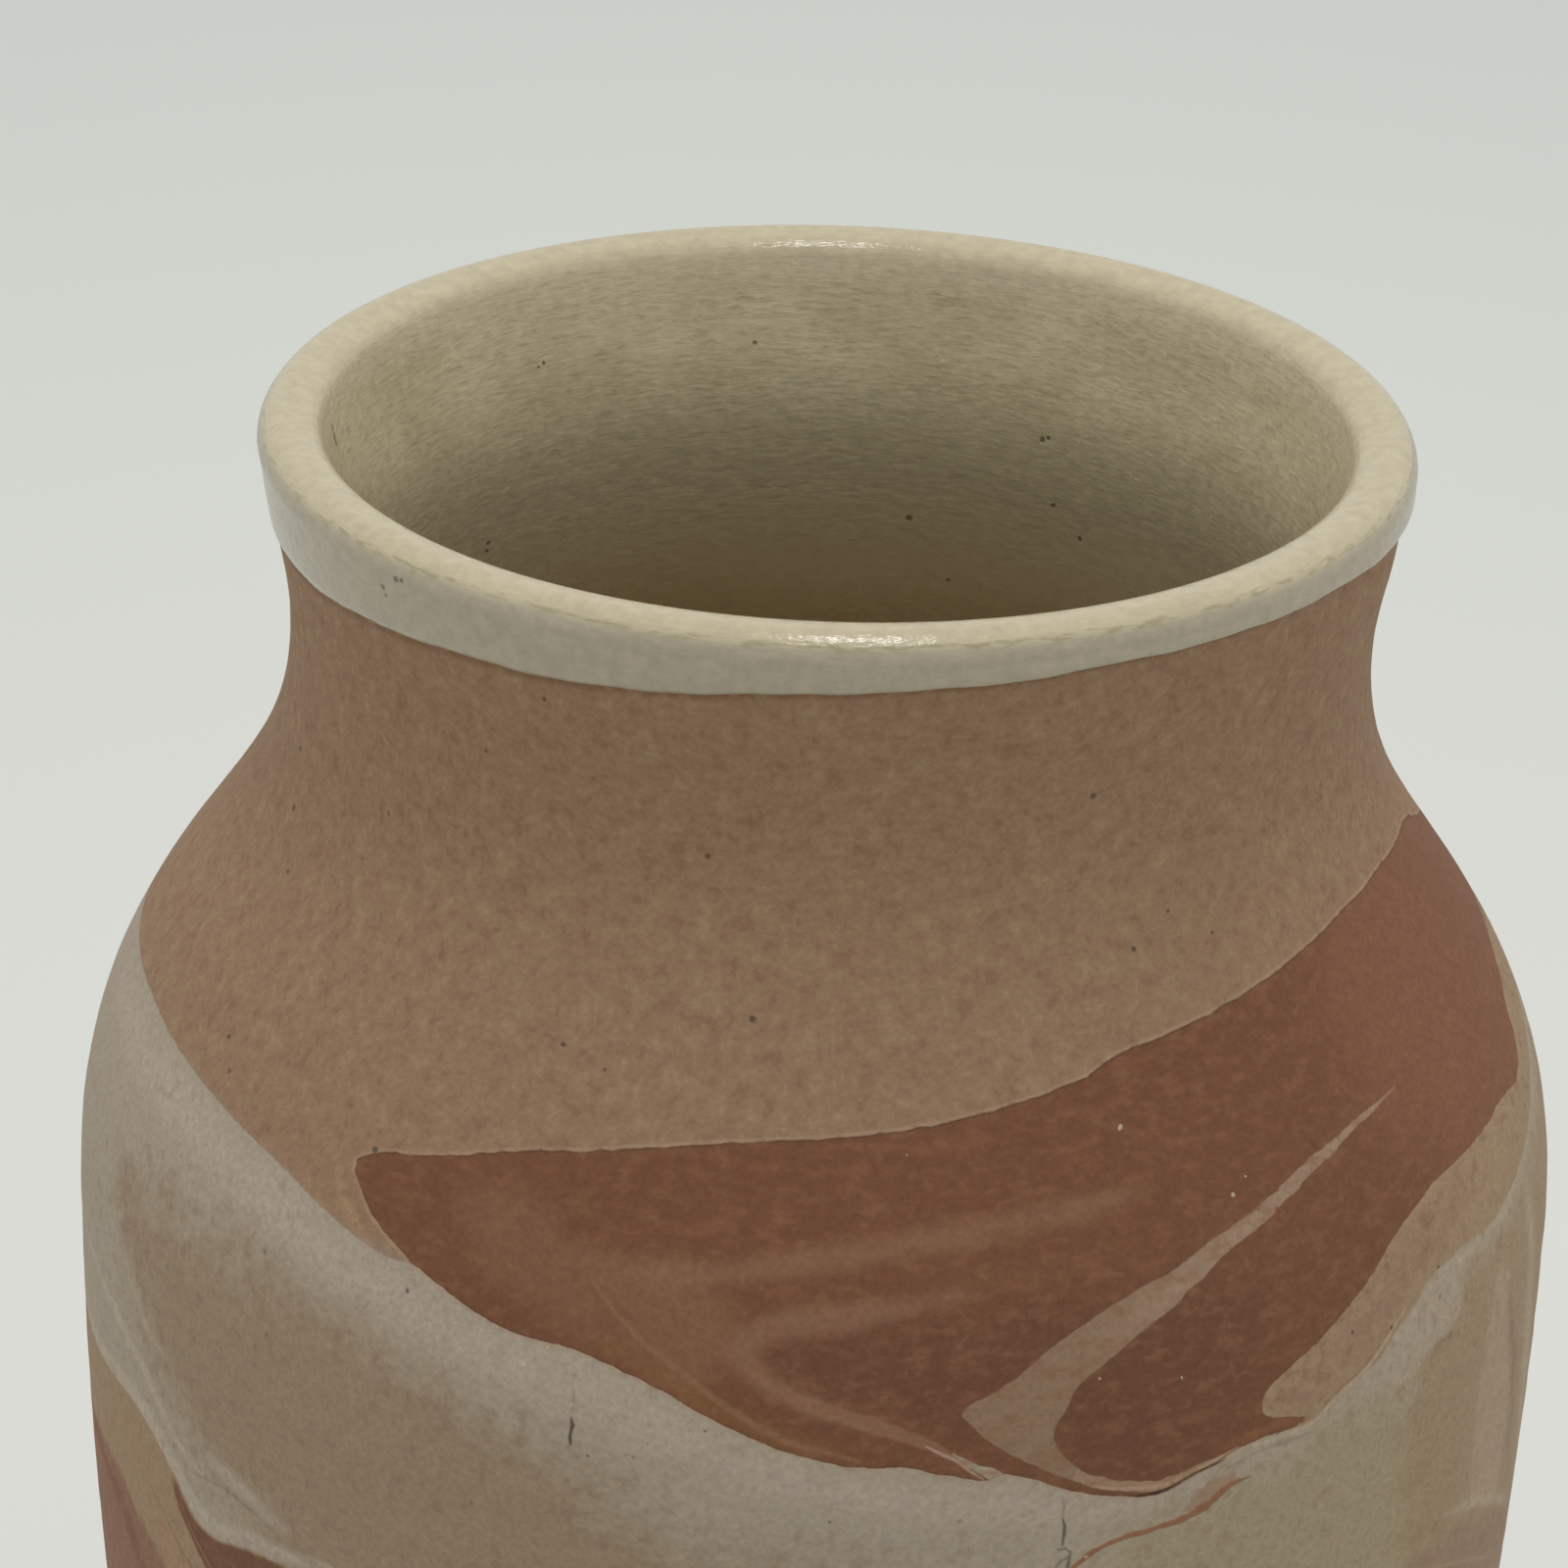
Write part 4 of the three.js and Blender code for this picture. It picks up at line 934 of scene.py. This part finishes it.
# Iron specks that stand out in the glaze, as [degrees, drop, radius]
insideSpecks = [[170.3, 21.2, 0.32], [150.4, 18.1, 0.24], [146.5, 20.3, 0.24], [165.6, 26.7, 0.22],
                [-140.2, 7.2, 0.18], [-139.4, 7.4, 0.12], [-169.1, 7.7, 0.18], [152.4, 13.1, 0.26],
                [151.6, 12.9, 0.2], [-92.2, 3.1, 0.32], [-92, 3.7, 0.4], [-91.9, 4.2, 0.32],
                [-129.7, 19.6, 0.24], [-129.7, 20.2, 0.2]]
faceSpecks = [[-45, 1.9, 0.28], [-44.3, 1.8, 0.18], [-47.2, 3, 0.26], [-46.9, 3.5, 0.18]]


def makeGlaze():
    material = bpy.data.materials.new("cream stoneware glaze")
    material.use_nodes = True
    tree = material.node_tree
    tree.nodes.clear()
    place = addNode(tree, "ShaderNodeTexCoord", {}, {}).outputs["Object"]
    over = addNode(tree, "ShaderNodeAttribute", {"attribute_name": "overLip"}, {}).outputs["Fac"]

    # The dashes are drawn out along the turn, so their pattern is laid by direction and by way over the lip
    level = addNode(tree, "ShaderNodeVectorMath", {"operation": "MULTIPLY"}, {0: place, 1: (1, 1, 0)})
    level = addNode(tree, "ShaderNodeVectorMath", {"operation": "NORMALIZE"}, {0: level})
    level = addNode(tree, "ShaderNodeVectorMath", {"operation": "SCALE"}, {
        0: level, "Scale": crest[0] * metre * glazeLook["dashSize"] / glazeLook["dashLength"]})
    upright = addNode(tree, "ShaderNodeMath", {"operation": "MULTIPLY"}, {0: over, 1: metre})
    upright = addNode(tree, "ShaderNodeCombineXYZ", {}, {"Z": upright})
    turned = addNode(tree, "ShaderNodeVectorMath", {"operation": "ADD"}, {0: level, 1: upright})
    clouds = addNode(tree, "ShaderNodeTexNoise", {}, {
        "Vector": place, "Scale": perMetre(glazeLook["cloudSize"]), "Detail": 4})
    blotches = addNode(tree, "ShaderNodeTexNoise", {}, {
        "Vector": place, "Scale": perMetre(glazeLook["blotchSize"]), "Detail": 5, "Roughness": 0.6})
    dashes = addNode(tree, "ShaderNodeTexNoise", {}, {
        "Vector": turned, "Scale": perMetre(glazeLook["dashSize"]), "Detail": 3, "Roughness": 0.55})
    waver = addNode(tree, "ShaderNodeMath", {"operation": "SUBTRACT"}, {0: blotches, 1: 0.5})
    over = addNode(tree, "ShaderNodeMath", {"operation": "MULTIPLY_ADD"}, {0: waver, 1: 1.6, 2: over})

    deepShare = addNode(tree, "ShaderNodeMapRange", smooth, {
        "Value": clouds, "From Min": 0.4, "From Max": 0.65})
    shade = addNode(tree, "ShaderNodeMix", mixColours, {
        0: deepShare, 6: colour(glazeLook["inside"]), 7: colour(glazeLook["deep"])}).outputs[2]
    # Partway down the inside the glaze is painted darker, as painted shade, and deeper down it is lighter
    # again, as painted light
    for name in ("middle", "low"):
        high, low = glazeLook[name + "Range"]
        share = addNode(tree, "ShaderNodeMapRange", smooth, {
            "Value": over, "From Min": high, "From Max": low})
        shade = addNode(tree, "ShaderNodeMix", mixColours, {
            0: share, 6: shade, 7: colour(glazeLook[name])}).outputs[2]
    dashShare = addNode(tree, "ShaderNodeMapRange", smooth, {
        "Value": dashes, "From Min": 0.54, "From Max": 0.72, "To Max": glazeLook["dashAmount"]})
    low, high = glazeLook["dashRange"]
    nearLip = addNode(tree, "ShaderNodeMapRange", smooth, {"Value": over, "From Min": low, "From Max": high})
    dashShare = addNode(tree, "ShaderNodeMath", {"operation": "MULTIPLY"}, {0: dashShare, 1: nearLip})
    shade = addNode(tree, "ShaderNodeMix", mixColours, {
        0: dashShare, 6: shade, 7: colour(glazeLook["dash"])}).outputs[2]
    low, high = glazeLook["crestRange"]
    crestShare = addNode(tree, "ShaderNodeMapRange", smooth, {
        "Value": over, "From Min": low, "From Max": high})
    shade = addNode(tree, "ShaderNodeMix", mixColours, {
        0: crestShare, 6: shade, 7: colour(glazeLook["crest"])}).outputs[2]
    change = glazeLook["changeAt"]
    outerShare = addNode(tree, "ShaderNodeMapRange", smooth, {
        "Value": over, "From Min": change - 0.4, "From Max": change + 0.7})
    shade = addNode(tree, "ShaderNodeMix", mixColours, {
        0: outerShare, 6: shade, 7: colour(glazeLook["outer"])}).outputs[2]
    fromChange = addNode(tree, "ShaderNodeMath", {"operation": "SUBTRACT"}, {0: over, 1: change})
    fromChange = addNode(tree, "ShaderNodeMath", {"operation": "ABSOLUTE"}, {0: fromChange})
    changeShare = addNode(tree, "ShaderNodeMapRange", smooth, {
        "Value": fromChange, "From Min": 0.6, "From Max": 0.05, "To Max": glazeLook["changeAmount"]})
    flakes = addNode(tree, "ShaderNodeMapRange", smooth, {"Value": dashes, "From Min": 0.42, "From Max": 0.6})
    changeShare = addNode(tree, "ShaderNodeMath", {"operation": "MULTIPLY"}, {0: changeShare, 1: flakes})
    shade = addNode(tree, "ShaderNodeMix", mixColours, {
        0: changeShare, 6: shade, 7: colour(glazeLook["change"])}).outputs[2]
    shade = addNode(tree, "ShaderNodeMix", {"data_type": "RGBA", "blend_type": "OVERLAY"}, {
        0: glazeLook["blotchAmount"], 6: shade, 7: blotches}).outputs[2]

    cells = addNode(tree, "ShaderNodeTexVoronoi", {}, {
        "Vector": place, "Scale": perMetre(glazeLook["speckSpacing"])}).outputs["Distance"]
    ragged = addNode(tree, "ShaderNodeMath", {"operation": "MULTIPLY_ADD"}, {0: waver, 1: 0.03, 2: cells})
    iron = addNode(tree, "ShaderNodeMapRange", smooth, {
        "Value": ragged, "From Min": 0.022, "From Max": 0.012, "To Max": 0.35})
    places = [(onInsideAt(*speck[:2]), speck[2]) for speck in insideSpecks]
    places += [(onOutsideAt(*speck[:2]), speck[2]) for speck in faceSpecks]
    speckNoise = addNode(tree, "ShaderNodeTexNoise", {}, {
        "Vector": place, "Scale": perMetre(0.4), "Detail": 2})
    # As with the clay's dots, the noise only makes a speck's outline ragged
    for where, radius in places:
        away = addNode(tree, "ShaderNodeVectorMath", {"operation": "DISTANCE"}, {
            0: place, 1: where}).outputs["Value"]
        away = addNode(tree, "ShaderNodeMath", {"operation": "MULTIPLY_ADD"}, {
            0: speckNoise, 1: 1.2 * radius * metre, 2: away})
        speck = addNode(tree, "ShaderNodeMapRange", smooth, {
            "Value": away, "From Min": 1.7 * radius * metre, "From Max": 1.1 * radius * metre})
        iron = addNode(tree, "ShaderNodeMath", {"operation": "MAXIMUM"}, {0: iron, 1: speck})
    ironShare = addNode(tree, "ShaderNodeMath", {"operation": "MULTIPLY"}, {
        0: iron, 1: glazeLook["ironAmount"]})
    shade = addNode(tree, "ShaderNodeMix", mixColours, {
        0: ironShare, 6: shade, 7: colour(glazeLook["iron"])}).outputs[2]

    dimples = addNode(tree, "ShaderNodeTexNoise", {}, {
        "Vector": place, "Scale": perMetre(glazeLook["dimple"]), "Detail": 2})
    relief = addNode(tree, "ShaderNodeMath", {"operation": "ADD"}, {0: dimples, 1: dashes})
    relief = addNode(tree, "ShaderNodeMath", {"operation": "SUBTRACT"}, {0: relief, 1: iron})
    bump = addNode(tree, "ShaderNodeBump", {}, {
        "Strength": 1.0, "Distance": glazeLook["dimpleDepth"] * metre, "Height": relief})
    surface = addNode(tree, "ShaderNodeBsdfPrincipled", {}, {
        "Base Color": shade, "Roughness": glazeLook["roughness"], "IOR": 1.5,
        "Specular IOR Level": glazeLook["specular"], "Normal": bump})
    addNode(tree, "ShaderNodeOutputMaterial", {}, {"Surface": surface})
    return material


# Slants the outer edge of the coat, and writes how far each point lies outwards over the lip's crest
def finishGlazeEdge(mesh):
    radius, angle, drop = measured(mesh)
    outer = (drop > wall["lipDrop"]) & (radius > outsideRadius(drop) - 1.5)
    stretch = (glazeEdgeAt(angle) - wall["lipDrop"]) / (nominalEdge - wall["lipDrop"])
    newDrop = np.where(outer, wall["lipDrop"] + (drop - wall["lipDrop"]) * stretch, drop)
    newRadius = np.where(outer, radius * outsideRadius(newDrop) / outsideRadius(drop), radius)
    turn = np.radians(angle)
    placed = np.column_stack([newRadius * np.sin(turn), -newRadius * np.cos(turn), vaseHeight - newDrop])
    mesh.vertices.foreach_set("co", (placed * metre).ravel())
    fromCrest = newRadius - crest[0]
    inner = np.where(newDrop > wall["lipDrop"], newRadius < outsideRadius(newDrop) - 1.5, fromCrest < 0)
    addAttribute(mesh, "overLip", np.where(inner, np.minimum(fromCrest, 0) - newDrop, fromCrest + newDrop))
    mesh.update()


clayWall = throw("marbled_wall", clayLine, wall["columns"], makeClay())
drawMarbling(clayWall.data)
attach(clayWall, "root")
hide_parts("thrown_body", "grey_swirl", "taupe_band", "olive_streak", "grey_back_swirl",
            "terracotta_drift", "terracotta_swirl", "terracotta_sliver", "pale_vein")

glaze = throw("glaze_coat", glazeLine, glazeCoat["columns"], makeGlaze())
finishGlazeEdge(glaze.data)
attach(glaze, "root")
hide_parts("glaze_lining")
print("clay and glaze dressed")

# A white tent, open and darker on the camera's side, with one small lamp above
studio = {
    "floorNear": "#dbdcd6", "floorFar": "#d0d3cd", "floorWidth": 30, "horizon": "#cdd0ca",
    "nearAt": 0.24, "farAt": 0.68,  # metres from the axis at which the floor has its two shades; the lighter near one is painted light
    "shadeFlat": 1.8,  # how oval those shades lie
    "tentLight": 1.23, "frontLight": 0.64,  # strength of the world at the back and sides, and at the front
    "domeLight": 0.89, "domeFront": 0.55,  # the same overhead
    "domeFrom": 0.1, "domeTo": 0.7,  # the heights between which the tent gives way to the dome
    "lampPlace": (0.05, -0.2, 1.15), "lampWidth": 0.14, "lampPower": 2.4,
}


def makeFloor():
    half = studio["floorWidth"] / 2
    mesh = bpy.data.meshes.new("floor")
    corners = [(-half, -half, 0), (half, -half, 0), (half, half, 0), (-half, half, 0)]
    mesh.from_pydata(corners, [], [(0, 1, 2, 3)])
    floor = bpy.data.objects.new("floor", mesh)
    bpy.context.scene.collection.objects.link(floor)
    material = bpy.data.materials.new("matt white paper")
    material.use_nodes = True
    tree = material.node_tree
    tree.nodes.clear()
    place = addNode(tree, "ShaderNodeTexCoord", {}, {}).outputs["Object"]
    place = addNode(tree, "ShaderNodeVectorMath", {"operation": "MULTIPLY"}, {
        0: place, 1: (studio["shadeFlat"], 1, 1)})
    away = addNode(tree, "ShaderNodeVectorMath", {"operation": "LENGTH"}, {0: place}).outputs["Value"]
    # The floor is painted lighter near the vase and darker further off: painted light falling off with
    # distance
    paintedLightFalloff = addNode(tree, "ShaderNodeMapRange", {}, {
        "Value": away, "From Min": studio["nearAt"], "From Max": studio["farAt"]})
    shade = addNode(tree, "ShaderNodeMix", mixColours, {
        0: paintedLightFalloff, 6: colour(studio["floorNear"]), 7: colour(studio["floorFar"])}).outputs[2]
    surface = addNode(tree, "ShaderNodeBsdfPrincipled", {}, {
        "Base Color": shade, "Roughness": 0.95, "Specular IOR Level": 0.1})
    addNode(tree, "ShaderNodeOutputMaterial", {}, {"Surface": surface})
    mesh.materials.append(material)


def makeLight():
    world = bpy.data.worlds.new("white tent")
    bpy.context.scene.world = world
    world.use_nodes = True
    tree = world.node_tree
    tree.nodes.clear()
    direction = addNode(tree, "ShaderNodeTexCoord", {}, {}).outputs["Generated"]
    parts = addNode(tree, "ShaderNodeSeparateXYZ", {}, {0: direction})
    strength, dome = [addNode(tree, "ShaderNodeMapRange", smooth, {
        "Value": parts.outputs["Y"], "From Min": -1.0, "From Max": 0.1, "To Min": studio[front],
        "To Max": studio[back]}) for front, back in (("frontLight", "tentLight"), ("domeFront", "domeLight"))]
    overhead = addNode(tree, "ShaderNodeMapRange", smooth, {
        "Value": parts.outputs["Z"], "From Min": studio["domeFrom"], "From Max": studio["domeTo"]})
    strength = addNode(tree, "ShaderNodeMix", {}, {0: overhead, 2: strength, 3: dome})
    cloth = addNode(tree, "ShaderNodeBackground", {}, {"Color": (1, 1, 1, 1), "Strength": strength})
    horizon = addNode(tree, "ShaderNodeBackground", {}, {"Color": colour(studio["horizon"]), "Strength": 1.0})
    ray = addNode(tree, "ShaderNodeLightPath", {}, {}).outputs
    seen = addNode(tree, "ShaderNodeMath", {"operation": "MAXIMUM"}, {
        0: ray["Is Camera Ray"], 1: ray["Is Glossy Ray"]})
    either = addNode(tree, "ShaderNodeMixShader", {}, {0: seen, 1: cloth, 2: horizon})
    addNode(tree, "ShaderNodeOutputWorld", {}, {"Surface": either})
    lamp = bpy.data.lights.new("lamp above", "AREA")
    lamp.shape = "SQUARE"
    lamp.size = studio["lampWidth"]
    lamp.energy = studio["lampPower"]
    holder = bpy.data.objects.new("lamp above", lamp)
    holder.location = studio["lampPlace"]
    aim = Vector((0, 0, vaseHeight * metre)) - holder.location
    holder.rotation_euler = aim.to_track_quat("-Z", "Y").to_euler()
    bpy.context.scene.collection.objects.link(holder)


# The camera stands 407 mm from the middle of the mouth and 21 degrees above it
view = {"distance": 407.08, "elevation": 21.257, "dip": 24.678, "yaw": -0.449, "roll": 1.752, "lens": 135}


def makeCamera():
    data = bpy.data.cameras.new("camera")
    data.lens = view["lens"]
    data.sensor_width = 36
    data.clip_start = 0.01
    camera = bpy.data.objects.new("camera", data)
    rise, dip = math.radians(view["elevation"]), math.radians(view["dip"])
    yaw, roll = math.radians(view["yaw"]), math.radians(view["roll"])
    place = Vector((0, -view["distance"] * math.cos(rise), view["distance"] * math.sin(rise) + lipEnd[1]))
    place *= metre
    ahead = Vector((math.sin(yaw) * math.cos(dip), math.cos(yaw) * math.cos(dip), -math.sin(dip)))
    right = ahead.cross(Vector((0, 0, 1))).normalized()
    upwards = right.cross(ahead)
    rolledRight = right * math.cos(roll) + upwards * math.sin(roll)
    rolledUp = upwards * math.cos(roll) - right * math.sin(roll)
    turned = Matrix((rolledRight, rolledUp, -ahead)).transposed().to_4x4()
    camera.matrix_world = Matrix.Translation(place) @ turned
    bpy.context.scene.collection.objects.link(camera)
    bpy.context.scene.camera = camera


makeFloor()
makeLight()
makeCamera()
bpy.context.scene.view_settings.view_transform = "Standard"
print("studio ready")
